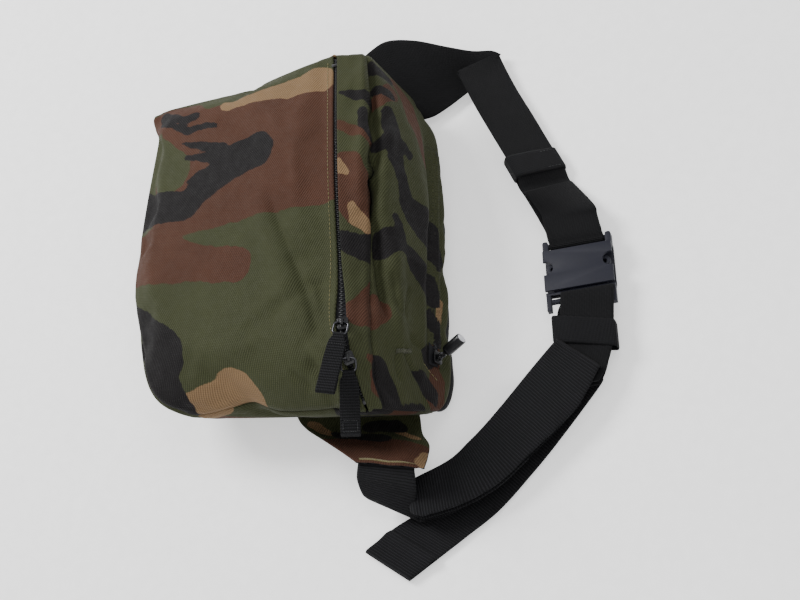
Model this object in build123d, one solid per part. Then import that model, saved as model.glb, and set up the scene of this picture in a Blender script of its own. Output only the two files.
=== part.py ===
"""Camouflage waist pack lying on its back panel, with its strap looped to one side.

Millimetres. +X runs along the pack's length, +Y from its bottom seam towards its top and
strap, +Z up out of the front panel. The origin is the centre of the back panel's resting face.
"""
from build123d import *
from math import cos, radians, sin
import os

os.makedirs("parts", exist_ok=True)

# ---- driving dimensions ------------------------------------------------------------------
FABRIC = 2.5            # padded, lined fabric of the pack's walls
WEB_WIDTH = 38.0        # strap webbing
WEB_THICK = 1.5
ZIP_HALF = 3.0          # half of the gap that the main zip's tapes fill
WING_OUTER = 1.5        # camouflage layer of a waist wing
WING_INNER = 1.0        # black facing under it
CLEAR = 0.4             # running clearance round moving hardware
WIRE_R = 0.65           # wire loops on the sliders
TAB_WIDTH = 13.0        # webbing pull tabs
TAB_THICK = 2.6
TAB_LENGTH = 42.0
BARREL_R = 4.0
BARREL_LENGTH = 15.0

# Wall section as (Y, Z) corners, from the back panel's front edge round to its rear edge.
CORNERS = ("back_front", "front_low", "zip", "crease", "rear_low", "back_rear")
FAR_SECTION = ((-80, 0), (-131, 60), (26, 80), (48, 73), (75, 13), (72, 0))
FAR_SHOULDER = ((-86, 0), (-134, 60), (30, 90), (56, 84), (91, 13), (87, 0))
NEAR_SHOULDER = ((-82, 0), (-113, 54), (41, 92), (56, 84), (91, 13), (87, 0))
NEAR_SECTION = ((-70, 0), (-88, 44), (52, 72), (62, 64), (84, 13), (80, 0))
FAR_SHOULDER_X = -100.0
HIP_X = 60.0            # where the front panel's bottom corner starts to round off
HIP_FRONT_LOW = (-129, 60)
NEAR_SHOULDER_X = 106.0
# Each end of the pack is a leaning plane: X = base + per_y * Y + per_z * Z.
FAR_END = (-121.0, 0.0, -0.17)
NEAR_END = (112.0, 0.1245, 0.396)

# Strap hardware.
BUCKLE_CENTRE = (29.5, 181.0, 9.5)
BUCKLE_ANGLE = 1.5
BUCKLE_WIDTH = 48.0
FEMALE_LENGTH = 31.0
FEMALE_THICK = 10.4
PLATE = 2.0
BAR_R = 1.9
LOOP_LENGTH = 56.0      # from the male buckle's bar to the end of the sliding strap loop
LOOP_SHIFT = 2.0        # the loop sits off the buckle's centre line


def unit_normal(a, b):
    """Inward normal of the section edge a -> b, for corners listed front round to rear."""
    length = ((b[0] - a[0]) ** 2 + (b[1] - a[1]) ** 2) ** 0.5
    return ((b[1] - a[1]) / length, -(b[0] - a[0]) / length)


def meet(p, d, q, e):
    """Where the line p + s*d crosses the line q + t*e."""
    cross = d[0] * e[1] - d[1] * e[0]
    s = ((q[0] - p[0]) * e[1] - (q[1] - p[1]) * e[0]) / cross
    return (p[0] + s * d[0], p[1] + s * d[1])


def inset(section, depth):
    """The section's corners moved inwards by the wall's thickness."""
    count = len(section)
    corners = []
    for k in range(count):
        a, b, c = section[k - 1], section[k], section[(k + 1) % count]
        n1, n2 = unit_normal(a, b), unit_normal(b, c)
        p = (b[0] + depth * n1[0], b[1] + depth * n1[1])
        q = (b[0] + depth * n2[0], b[1] + depth * n2[1])
        corners.append(meet(p, (b[0] - a[0], b[1] - a[1]), q, (c[0] - b[0], c[1] - b[1])))
    return tuple(corners)


def end_x(plane, y, z, shift=0.0):
    return plane[0] + plane[1] * y + plane[2] * z + shift


def stations(corner_sets, near_shift=-FABRIC, far_shift=FABRIC):
    """Polygons in space for the same corners of all five sections, far end to near end."""
    far, far_mid, hip, near_mid, near = corner_sets
    return [
        [(end_x(FAR_END, y, z, far_shift), y, z) for y, z in far],
        [(FAR_SHOULDER_X, y, z) for y, z in far_mid],
        [(HIP_X, y, z) for y, z in hip],
        [(NEAR_SHOULDER_X, y, z) for y, z in near_mid],
        [(end_x(NEAR_END, y, z, near_shift), y, z) for y, z in near],
    ]


def ruled(polygons):
    """Closed solid with straight rulings through a row of flat polygons."""
    faces = [Face(Wire.make_polygon([Vector(*p) for p in polygon])) for polygon in polygons]
    return Solid.make_loft([face.outer_wire() for face in faces], ruled=True)


def along(a, b, distance):
    """The point that lies a distance from a towards b."""
    length = sum((q - p) ** 2 for p, q in zip(a, b)) ** 0.5
    return tuple(p + (q - p) * distance / length for p, q in zip(a, b))


HIP_SHARE = (HIP_X - FAR_SHOULDER_X) / (NEAR_SHOULDER_X - FAR_SHOULDER_X)
HIP = [tuple(p + (q - p) * HIP_SHARE for p, q in zip(a, b))
       for a, b in zip(FAR_SHOULDER, NEAR_SHOULDER)]
HIP[CORNERS.index("front_low")] = HIP_FRONT_LOW
SECTIONS = (FAR_SECTION, FAR_SHOULDER, tuple(HIP), NEAR_SHOULDER, NEAR_SECTION)
INNER = tuple(inset(section, FABRIC) for section in SECTIONS)


def wall(first, second, first_back=0.0, second_back=0.0):
    """One wall between two named corners, held back from either corner by a distance."""
    i, j = CORNERS.index(first), CORNERS.index(second)
    corner_sets = []
    for outer, inner in zip(SECTIONS, INNER):
        a = along(outer[i], outer[j], first_back)
        b = along(outer[j], outer[i], second_back)
        c, d = inner[j], inner[i]
        if second_back:
            n = unit_normal(outer[i], outer[j])
            c = (b[0] + FABRIC * n[0], b[1] + FABRIC * n[1])
        if first_back:
            n = unit_normal(outer[i], outer[j])
            d = (a[0] + FABRIC * n[0], a[1] + FABRIC * n[1])
        corner_sets.append((a, b, c, d))
    return ruled(stations(corner_sets))


def back_wall():
    """The wall the pack rests on, cut to one flat face at Z = 0."""
    i, j = CORNERS.index("back_rear"), CORNERS.index("back_front")
    corner_sets = []
    for outer, inner in zip(SECTIONS, INNER):
        a, b = [tuple(1.2 * p - 0.2 * q for p, q in zip(outer[m], inner[m])) for m in (i, j)]
        corner_sets.append((a, b, inner[j], inner[i]))
    return ruled(stations(corner_sets)) - Pos(0, 0, -5) * Box(600, 600, 10)


def end_panel(plane, section, shift):
    """Flat gusset that closes one end of the pack."""
    outside = [(end_x(plane, y, z), y, z) for y, z in section]
    inside = [(end_x(plane, y, z, shift), y, z) for y, z in section]
    return ruled([outside, inside])


# ---- main zip ----------------------------------------------------------------------------
ZIP = CORNERS.index("zip")


def zip_strip(start, stop, top, thick):
    """Strip along the main zip, from start to stop across it, its top face that far down."""
    corner_sets = []
    for section in SECTIONS:
        low = along(section[ZIP], section[ZIP - 1], ZIP_HALF)
        high = along(section[ZIP], section[ZIP + 1], ZIP_HALF)
        n = unit_normal(low, high)
        ends = []
        for share in (start, stop):
            point = tuple(p + (q - p) * share for p, q in zip(low, high))
            ends.append((point[0] + top * n[0], point[1] + top * n[1]))
        a, b = ends
        c = (b[0] + thick * n[0], b[1] + thick * n[1])
        d = (a[0] + thick * n[0], a[1] + thick * n[1])
        corner_sets.append((a, b, c, d))
    return ruled(stations(corner_sets))


def zip_point(x):
    """Middle of the main zip's top face at a place along it, and the direction it runs."""
    rows = stations([(section[ZIP],) for section in SECTIONS])
    points = [Vector(*row[0]) for row in rows]
    for a, b in zip(points, points[1:]):
        if x <= b.X:
            return a + (b - a) * ((x - a.X) / (b.X - a.X)), (b - a).normalized()
    raise ValueError("the place lies past the end of the zip")


def zip_frame(x, height):
    """Local frame on the main zip: x along it, z out of the pack."""
    point, direction = zip_point(x)
    out = Vector(0, 0.1, 1)
    out = (out - direction * out.dot(direction)).normalized()
    return Plane(origin=point + out * height, x_dir=direction, z_dir=out)


SLIDER = (9.0, 7.5, 2.2)       # slider plate: along, across, thick
BRIDGE = (5.0, 2.0, 3.2)       # arch on the plate that the wire loop passes through
BRIDGE_HOLE = (2.6, 2.1)       # along, high
LOOP_SIZE = (8.5, 9.5)        # wire loop, centre line: along, across

PIVOT_HEIGHT = SLIDER[2] + BRIDGE_HOLE[1] / 2


def slider():
    """Slider plate with its arched bridge; the loop's wire crosses under the arch."""
    plate = Pos(0, 0, SLIDER[2] / 2) * Box(*SLIDER)
    plate = fillet(plate.edges().filter_by(Axis.Z), 2.0)
    arch = Pos(0, 0, SLIDER[2] + BRIDGE[2] / 2) * Box(*BRIDGE)
    arch = fillet(arch.faces().sort_by(Axis.Z)[-1].edges().filter_by(Axis.Y), 1.2)
    hole = Pos(0, 0, PIVOT_HEIGHT) * Box(BRIDGE_HOLE[0], 3 * BRIDGE[1], BRIDGE_HOLE[1])
    return plate + arch - hole


def wire_loop():
    """Rounded wire loop, its near bar on the local Y axis and its far bar along +X."""
    length, width = LOOP_SIZE
    corners = [(0, -width / 2), (length, -width / 2), (length, width / 2), (0, width / 2)]
    loop = None
    for k, (x, y) in enumerate(corners):
        nx, ny = corners[(k + 1) % 4]
        start, run = Vector(x, y, 0), Vector(nx - x, ny - y, 0)
        rod = Solid.make_cylinder(WIRE_R, run.length, Plane(origin=start, z_dir=run))
        knuckle = Pos(x, y, 0) * Sphere(WIRE_R)
        loop = rod + knuckle if loop is None else loop + rod + knuckle
    return loop


def pull_tab():
    """Doubled webbing tab whose eye turns on the loop's far bar, with a folded end."""
    eye_r = TAB_THICK / 2
    half = LOOP_SIZE[1] / 2 - WIRE_R - 0.3
    neck = Rot(90, 0, 0) * Cylinder(eye_r, 2 * half)
    neck += Pos(3.0, 0, 0) * Box(6.0, 2 * half, TAB_THICK)
    bore = Rot(90, 0, 0) * Cylinder(WIRE_R + 0.12, 2 * half + 2)
    blade = Pos(TAB_LENGTH / 2 + 3.5, 0, 0) * Box(TAB_LENGTH - 5.0, TAB_WIDTH, TAB_THICK)
    fold = Pos(TAB_LENGTH - 6.0, 0, 0) * Box(14.0, TAB_WIDTH, TAB_THICK + 1.6)
    return neck + blade + fold - bore


def pull_set(x, yaw, loop_drop, tab_drop):
    """Slider, loop and tab at a place on the main zip; the drops are angles in degrees."""
    base = zip_frame(x, CLEAR)
    pivot = base * Pos(0, 0, PIVOT_HEIGHT) * Rot(0, 0, yaw) * Rot(0, loop_drop, 0)
    eye = pivot * Pos(LOOP_SIZE[0], 0, 0) * Rot(0, tab_drop, 0)
    return base * slider(), pivot * wire_loop(), eye * pull_tab(), (base, pivot, eye)


# ---- rear pocket zip ---------------------------------------------------------------------
REAR_ZIP_X = (-74.0, 98.0)
REAR_ZIP_Z = 30.0
REAR_OUT = Vector(0, 71, 35).normalized()


def rear_frame(x, height):
    """Local frame on the top gusset's rear strip: x along the zip, z out of the fabric."""
    y = 56 + (84 - REAR_ZIP_Z) / (84 - 13) * (91 - 56)
    return Plane(origin=Vector(x, y, REAR_ZIP_Z) + REAR_OUT * height, x_dir=(1, 0, 0), z_dir=REAR_OUT)


def rear_strip(width, low, thick):
    length = REAR_ZIP_X[1] - REAR_ZIP_X[0]
    frame = rear_frame(sum(REAR_ZIP_X) / 2, low + thick / 2)
    return frame * Box(length, width, thick)


# ---- webbing ------------------------------------------------------------------------------
def ribbon(edges, thick, drop=0.0):
    """Band through (left, right) edge points; its top face lies that drop below them."""
    polygons = []
    for (lx, ly, lz), (rx, ry, rz) in edges:
        lz, rz = lz - drop, rz - drop
        polygons.append([(lx, ly, lz), (rx, ry, rz), (rx, ry, rz - thick), (lx, ly, lz - thick)])
    return ruled(polygons)


# Bands are given as (left, right) edge points of their top face, root to tip.
NEAR_WING = [((114, -22, 9), (125, 66, 9)), ((138, 2, 22), (150, 76, 22)),
             ((164, 31, 41), (174, 78, 40))]
FAR_WING = [((-123, -22, 9), (-123, 62, 9)), ((-146, 4, 20), (-133, 66, 12)),
            ((-166, 30, 30), (-139, 63, 13))]
NEAR_ROOT = [((164, 31.5, 38), (172, 70.5, 37)), ((173, 29, 31), (184, 69, 25)),
             ((181, 29, 22), (198, 66, 9))]
NEAR_UNDER = [((174, 55, 3.9), (194, 62, 3.9)), ((166, 76, 3.9), (193, 87, 3.9)),
              ((151, 101, 3.9), (178, 117, 3.9)), ((126, 128, 3.9), (150, 152, 3.9)),
              ((100, 149, 3.9), (126, 177, 3.9))]
FOLD_TOP = [((169, 67, 16.4), (198, 72, 16.4)), ((160, 88, 16.4), (193, 96, 16.4)),
            ((150, 101, 16.4), (182, 120, 16.4)), ((137, 115, 16.4), (165, 141, 16.4)),
            ((104, 145, 16.4), (136, 174, 16.4)), ((84, 163, 16.4), (110, 191, 16.4))]
TAIL = [((88, 160, 1.9), (114, 190, 1.9)), ((122, 133, 1.9), (150, 160, 1.9)),
        ((142, 116, 1.9), (170, 142, 1.9)), ((167, 92, 1.9), (194, 118, 1.9)),
        ((187, 66, 1.9), (210, 95, 1.9)), ((199, 44, 1.9), (222, 77, 1.9)),
        ((213, 25, 1.9), (236, 56, 1.9))]
HEM = [((202.5, 40, 3.6), (225.5, 72, 3.6)), ((213, 25, 3.6), (236, 56, 3.6))]
FAR_WEB = [((-167, 31, 36), (-139, 64, 14)), ((-170, 62, 38), (-127, 73, 8)),
           ((-167, 96, 22), (-134, 96, 5)), ((-169, 125, 4), (-141, 106, 2.5))]

# The far strap runs straight from its fold to the buckle's neck, tilted about its length.
FAR_START = Vector(-158, 111.5, 15)
FAR_BEND = Vector(-34, 166, 14)
FAR_TILT = -28.0


def far_frame(distance, drop=0.0):
    """Frame on the straight far strap, x along it and z out of its face."""
    run = (FAR_BEND - FAR_START).normalized()
    across = Vector(0, 0, 1).cross(run).normalized()
    up = run.cross(across)
    out = up * cos(radians(FAR_TILT)) - across * sin(radians(FAR_TILT))
    return Plane(origin=FAR_START + run * distance - out * drop, x_dir=run, z_dir=out)


FAR_RUN = (FAR_BEND - FAR_START).length
FAR_KEEPER = 108.0      # distance along the far strap to the elastic keeper's middle
KEEPER_LENGTH = 20.0
KEEPER_WALL = 0.9


def far_edge(distance, side, drop):
    return (far_frame(distance, drop) * Pos(0, side * WEB_WIDTH / 2, 0)).position


def buckle_frame(u=0.0, v=0.0, height=0.0):
    """Frame at the buckle: x from the female half to the male half, z up."""
    x, y, z = BUCKLE_CENTRE
    return Pos(x, y, z) * Rot(0, 0, BUCKLE_ANGLE) * Pos(u, v, height)


def buckle_point(u, v, height):
    return buckle_frame(u, v, height).position


def band_tube(length, inner_width, inner_height):
    """Elastic band sewn into a flat tube round the strap layers."""
    outer = Box(length, inner_width + 2 * KEEPER_WALL, inner_height + 2 * KEEPER_WALL)
    outer = fillet(outer.edges().filter_by(Axis.X), KEEPER_WALL)
    return outer - Box(length + 2, inner_width, inner_height)


# ---- buckle -------------------------------------------------------------------------------
FEMALE_BACK = -FEMALE_LENGTH / 2
WINDOW_R = 5.2
WINDOW_V = BUCKLE_WIDTH / 2 - 1.5
ARM_V = 17.2
ARM_PIVOT_U = 17.5
LATCH_U = -2.0
MALE_BAR_U = 22.3


def buckle_female():
    """Housing of two plates on a back wall and guide ribs, with side windows and a strap bar."""
    top = Pos(0, 0, FEMALE_THICK / 2 - PLATE / 2) * Box(FEMALE_LENGTH, BUCKLE_WIDTH, PLATE)
    for side in (-1, 1):
        top -= Pos(LATCH_U, side * WINDOW_V, FEMALE_THICK / 2) * Cylinder(WINDOW_R, 3 * PLATE)
    bottom = Pos(0, 0, PLATE / 2 - FEMALE_THICK / 2) * Box(FEMALE_LENGTH, BUCKLE_WIDTH, PLATE)
    back = Pos(FEMALE_BACK + 1.5, 0, 0) * Box(3.0, BUCKLE_WIDTH, FEMALE_THICK)
    shell = top + bottom + back
    for side in (-1, 1):
        shell += Pos(1.5, side * 6.0, 0) * Box(FEMALE_LENGTH - 3.0, 1.8, FEMALE_THICK)
        ear = Pos(FEMALE_BACK - 4.0, side * (BUCKLE_WIDTH / 2 - 2.0), 0) * Box(9.0, 4.0, 6.0)
        shell += fillet(ear.edges().filter_by(Axis.Z), 1.5)
    bar = Pos(FEMALE_BACK - 5.6, 0, 0) * Rot(90, 0, 0) * Cylinder(BAR_R, BUCKLE_WIDTH - 2.0)
    return shell + bar


def buckle_male():
    """Base frame with its strap bar and the middle tongue that enters the housing."""
    side_v = BUCKLE_WIDTH / 2 - 1.6
    start = FEMALE_LENGTH / 2 + CLEAR
    base = Pos(start + 1.1, 0, 0) * Box(2.2, BUCKLE_WIDTH, 5.4)
    for side in (-1, 1):
        base += Pos(start + 7.5, side * side_v, 0) * Box(12.0, 3.0, 5.0)
    base += Pos(MALE_BAR_U, 0, 0) * Rot(90, 0, 0) * Cylinder(BAR_R, BUCKLE_WIDTH - 1.0)
    tongue = Pos(start - 11.0, 0, 0) * Box(22.2, 9.0, 3.4)
    return base + fillet(tongue.edges().filter_by(Axis.Z).sort_by(Axis.X)[:2], 2.5)


def buckle_arm(side):
    """Spring arm with its latch head and thumb hole in the housing's side window."""
    length = ARM_PIVOT_U - 2.6 - LATCH_U
    arm = Pos((ARM_PIVOT_U - 2.6 + LATCH_U) / 2, side * ARM_V, 0) * Box(length, 3.0, 4.6)
    head = Pos(LATCH_U, side * (ARM_V + 0.8), 0) * Cylinder(4.2, 4.6)
    hole = Pos(LATCH_U, side * (ARM_V + 0.8), 0) * Cylinder(1.5, 9.0)
    return arm + head - hole


def strap_loop():
    """Hairpin of webbing round the male buckle's bar, both layers reaching to the keeper."""
    inner, outer = BAR_R + 0.45, BAR_R + 0.45 + WEB_THICK
    legs = Pos(LOOP_LENGTH / 2, 0, 0) * Box(LOOP_LENGTH, WEB_WIDTH - 1.0, 2 * outer)
    bend = Rot(90, 0, 0) * Cylinder(outer, WEB_WIDTH - 1.0)
    slot = Pos(LOOP_LENGTH / 2, 0, 0) * Box(LOOP_LENGTH + 1, WEB_WIDTH + 4, 2 * inner)
    slot += Rot(90, 0, 0) * Cylinder(inner, WEB_WIDTH + 4)
    return legs + bend - slot


def zip_stops():
    """Pair of stops clamped over the ends of the main zip's coil."""
    ends = (FAR_SHOULDER_X - 24.0, NEAR_SHOULDER_X + 33.0)
    return Compound([zip_frame(x, 0.5) * Box(3.0, 4.4, 1.2) for x in ends])


def bar_tack():
    """Short dense row of stitches, proud of the gusset's rear strip."""
    y, z = 62.5, 71.0
    tack = Plane(origin=Vector(72, y, z) + REAR_OUT * 0.35, x_dir=(1, 0, 0), z_dir=REAR_OUT)
    return tack * Box(11.0, 2.4, 0.7)


# ---- the parts ----------------------------------------------------------------------------
parts = {
    "back_panel": back_wall(),
    "bottom_gusset": wall("back_front", "front_low"),
    "front_panel": wall("front_low", "zip", second_back=ZIP_HALF),
    "top_gusset_front": wall("zip", "crease", first_back=ZIP_HALF),
    "top_gusset_rear": wall("crease", "rear_low"),
    "rear_piping": wall("rear_low", "back_rear"),
    "side_panel_far": end_panel(FAR_END, FAR_SECTION, FABRIC),
    "side_panel_near": end_panel(NEAR_END, NEAR_SECTION, -FABRIC),
    "main_zip_tape_front": zip_strip(0.12, 0.3, 0.6, 0.8),
    "main_zip_coil": zip_strip(0.3, 0.7, 0.2, 1.6),
    "main_zip_tape_rear": zip_strip(0.7, 0.88, 0.6, 0.8),
    "main_zip_stops": zip_stops(),
    "rear_zip_tape": rear_strip(11.0, 0.0, 0.6),
    "rear_zip_coil": rear_strip(3.2, 0.6, 1.2),
    "bar_tack": bar_tack(),
    "wing_near": ribbon(NEAR_WING, WING_OUTER),
    "wing_near_facing": ribbon(NEAR_WING, WING_INNER, drop=WING_OUTER),
    "wing_far": ribbon(FAR_WING, WING_OUTER),
    "wing_far_facing": ribbon(FAR_WING, WING_INNER, drop=WING_OUTER),
    "strap_near_root": ribbon(NEAR_ROOT, WEB_THICK),
    "strap_near_under": ribbon(NEAR_UNDER, WEB_THICK),
    "strap_fold": ribbon(FOLD_TOP, WEB_THICK),
    "strap_fold_return": ribbon(FOLD_TOP[:4], WEB_THICK, drop=5.0),
    "strap_tail": ribbon(TAIL, WEB_THICK),
    "tail_hem": ribbon(HEM, WEB_THICK),
    "strap_far_root": ribbon(FAR_WEB, WEB_THICK),
}

# Rear pocket's bag hangs inside, behind the rear strip.
bag_frame = rear_frame(8.0, -(FABRIC + 3.0))
parts["rear_pocket_bag"] = bag_frame * Pos(0, -18.0, 0) * Box(160.0, 44.0, 2.0)

# Main zip's pulls. The far one lies on the front panel, the near one hangs over the end.
slider_a, loop_a, tab_a, frames_a = pull_set(90.0, -15.0, 0.0, 1.0)
slider_b, loop_b, tab_b, frames_b = pull_set(113.0, -20.0, 0.0, 4.0)
parts["main_slider_far"] = slider_a
parts["main_slider_far_loop"] = loop_a
parts["main_slider_far_tab"] = tab_a
parts["main_slider_near"] = slider_b
parts["main_slider_near_loop"] = loop_b
parts["main_slider_near_tab"] = tab_b

# Rear pocket's slider, its ring and the barrel pull with a pale end cap. The pull leans
# towards the far end; the ring and the barrel both swing along the zip.
RING_R = 2.4
REAR_SLIDER_X = 93.0
PULL_LEAN = 20.0
rear_base = rear_frame(REAR_SLIDER_X, 1.8 + CLEAR)
pull = rear_base * Pos(0, 0, PIVOT_HEIGHT) * Rot(0, -PULL_LEAN, 0)
ring_far = pull * Pos(0, 0, 2 * RING_R)
barrel_end = ring_far * Pos(0, 0, 1.2)
parts["rear_slider"] = rear_base * slider()
parts["rear_slider_ring"] = pull * Pos(0, 0, RING_R) * Rot(0, 90, 0) * Torus(RING_R, 0.6)
barrel = Pos(0, 0, BARREL_LENGTH / 2) * Cylinder(BARREL_R, BARREL_LENGTH)
barrel = fillet(barrel.edges().sort_by(Axis.Z)[0], 1.2)
eye = Pos(0, 0, -0.6) * Box(4.4, 1.6, 3.2)
eye_bore = Pos(0, 0, -1.2) * Rot(90, 0, 0) * Cylinder(0.9, 4)
parts["rear_barrel_pull"] = barrel_end * (barrel + eye - eye_bore)
parts["rear_barrel_cap"] = barrel_end * Pos(0, 0, BARREL_LENGTH + 0.4) * Cylinder(BARREL_R - 0.5, 0.8)

# Far strap: straight run, neck to the buckle and the doubled-back layer under it.
neck_top = [(far_edge(FAR_RUN, 1, 0), far_edge(FAR_RUN, -1, 0)),
            (buckle_point(-38, 15, 4.3), buckle_point(-38, -23, 4.3)),
            (buckle_point(-21, 19, 4.0), buckle_point(-21, -19, 4.0))]
parts["strap_far"] = ribbon([(far_edge(0, 1, 0), far_edge(0, -1, 0))] + neck_top, WEB_THICK)
neck_low = [(far_edge(FAR_RUN - 52, 1, 4.2), far_edge(FAR_RUN - 52, -1, 4.2)),
            (far_edge(FAR_RUN, 1, 4.2), far_edge(FAR_RUN, -1, 4.2)),
            (buckle_point(-38, 15, -2.4), buckle_point(-38, -23, -2.4)),
            (buckle_point(-21, 19, -2.4), buckle_point(-21, -19, -2.4))]
parts["strap_far_return"] = ribbon(neck_low, WEB_THICK)
parts["keeper_far"] = far_frame(FAR_KEEPER, 2.85) * band_tube(KEEPER_LENGTH, WEB_WIDTH + 2.2, 6.9)

# Buckle, its strap loop and the near keeper.
parts["buckle_female"] = buckle_frame() * buckle_female()
parts["buckle_male"] = buckle_frame() * buckle_male()
parts["buckle_arm_left"] = buckle_frame() * buckle_arm(-1)
parts["buckle_arm_right"] = buckle_frame() * buckle_arm(1)
parts["strap_loop"] = buckle_frame(MALE_BAR_U, LOOP_SHIFT) * strap_loop()
keeper_height = 2 * (BAR_R + 0.45 + WEB_THICK) + 0.6
keeper_near_frame = buckle_frame(MALE_BAR_U + 27.0, LOOP_SHIFT)
parts["keeper_near"] = keeper_near_frame * band_tube(KEEPER_LENGTH, WEB_WIDTH, keeper_height)

for node, shape in parts.items():
    export_step(shape, f"parts/{node}.step")

# Where the moving pieces turn and slide.
for label, (base, pivot, eye_frame) in (("far", frames_a), ("near", frames_b)):
    print(label, "slide axis", tuple(base.x_dir))
    for name, frame in (("loop", Plane(pivot)), ("tab", Plane(eye_frame))):
        print(label, name, "pivot", tuple(frame.origin), "axis", tuple(-frame.y_dir))
print("rear pivot", tuple(pull.position), "ring far point", tuple(ring_far.position))
print("rear swing axis", tuple(rear_base.y_dir))
print("far strap run", tuple((FAR_BEND - FAR_START).normalized()))
for side in (-1, 1):
    print("arm pivot", tuple(buckle_frame(FEMALE_LENGTH / 2, side * ARM_V).position))
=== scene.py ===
"""Looks of the camouflage waist pack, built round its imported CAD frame; lists in millimetres."""
import math

import bmesh
import bpy
import numpy as np
from mathutils import Matrix, Vector
from mathutils.bvhtree import BVHTree
from mathutils.interpolate import poly_3d_calc
from mathutils.kdtree import KDTree


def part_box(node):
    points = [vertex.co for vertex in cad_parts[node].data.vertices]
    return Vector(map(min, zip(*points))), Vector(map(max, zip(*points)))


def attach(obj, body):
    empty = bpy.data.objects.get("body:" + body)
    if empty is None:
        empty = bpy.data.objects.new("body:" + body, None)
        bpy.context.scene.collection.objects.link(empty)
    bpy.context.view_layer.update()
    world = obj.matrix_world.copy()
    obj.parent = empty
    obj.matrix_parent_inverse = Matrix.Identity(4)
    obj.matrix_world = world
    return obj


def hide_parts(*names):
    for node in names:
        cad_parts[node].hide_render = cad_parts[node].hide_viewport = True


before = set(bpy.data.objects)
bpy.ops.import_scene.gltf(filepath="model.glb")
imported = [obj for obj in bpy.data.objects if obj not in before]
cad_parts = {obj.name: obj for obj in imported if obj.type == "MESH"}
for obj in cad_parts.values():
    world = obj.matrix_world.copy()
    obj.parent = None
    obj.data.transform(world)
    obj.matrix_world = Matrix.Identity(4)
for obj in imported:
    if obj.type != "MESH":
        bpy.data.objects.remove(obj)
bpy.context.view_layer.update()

MM = 0.001


# ---- camera and light -----------------------------------------------------------------------
def aim(place, target, right=None):
    """Rotation that looks from place to target, with the picture's right side along right."""
    back = (Vector(place) - Vector(target)).normalized()
    right = Vector(right or Vector((0, 0, 1)).cross(back)).normalized()
    up = back.cross(right).normalized()
    right = up.cross(back)
    return Matrix((right, up, back)).transposed().to_4x4()


CAMERA_TARGET = Vector((0.027, 0.049, 0.0))
CAMERA_BACK = Vector((0.46947, 0.27285, 0.83973))
CAMERA_RIGHT = Vector((0.0, 0.95106, -0.30902))
CAMERA_DISTANCE, LENS = 1.2, 76.05
camera = bpy.data.objects.new("camera", bpy.data.cameras.new("camera"))
camera.data.lens = LENS
camera.data.clip_start, camera.data.clip_end = 0.05, 20.0
place = CAMERA_TARGET + CAMERA_BACK * CAMERA_DISTANCE
camera.matrix_world = Matrix.Translation(place) @ aim(place, CAMERA_TARGET, CAMERA_RIGHT)
bpy.context.collection.objects.link(camera)
bpy.context.scene.camera = camera


def area_light(name, place, size, power):
    """Round soft light that points at the middle of the pack."""
    light = bpy.data.lights.new(name, "AREA")
    light.shape, light.size, light.energy = "DISK", size, power
    obj = bpy.data.objects.new(name, light)
    obj.matrix_world = Matrix.Translation(place) @ aim(place, (0, 0.05, 0))
    bpy.context.collection.objects.link(obj)


area_light("key_light", (-0.7, -1.1, 1.3), 0.8, 44)
area_light("fill_light", (1.2, 0.5, 1.4), 1.4, 9)
area_light("top_light", (-0.4, 0.6, 1.7), 1.2, 8)
SKY_COLOR, SKY_POWER = (1, 1, 1, 1), 0.6
world = bpy.data.worlds.new("studio")
world.use_nodes = True
sky = world.node_tree.nodes["Background"]
sky.inputs[0].default_value, sky.inputs[1].default_value = SKY_COLOR, SKY_POWER
bpy.context.scene.world = world


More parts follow.
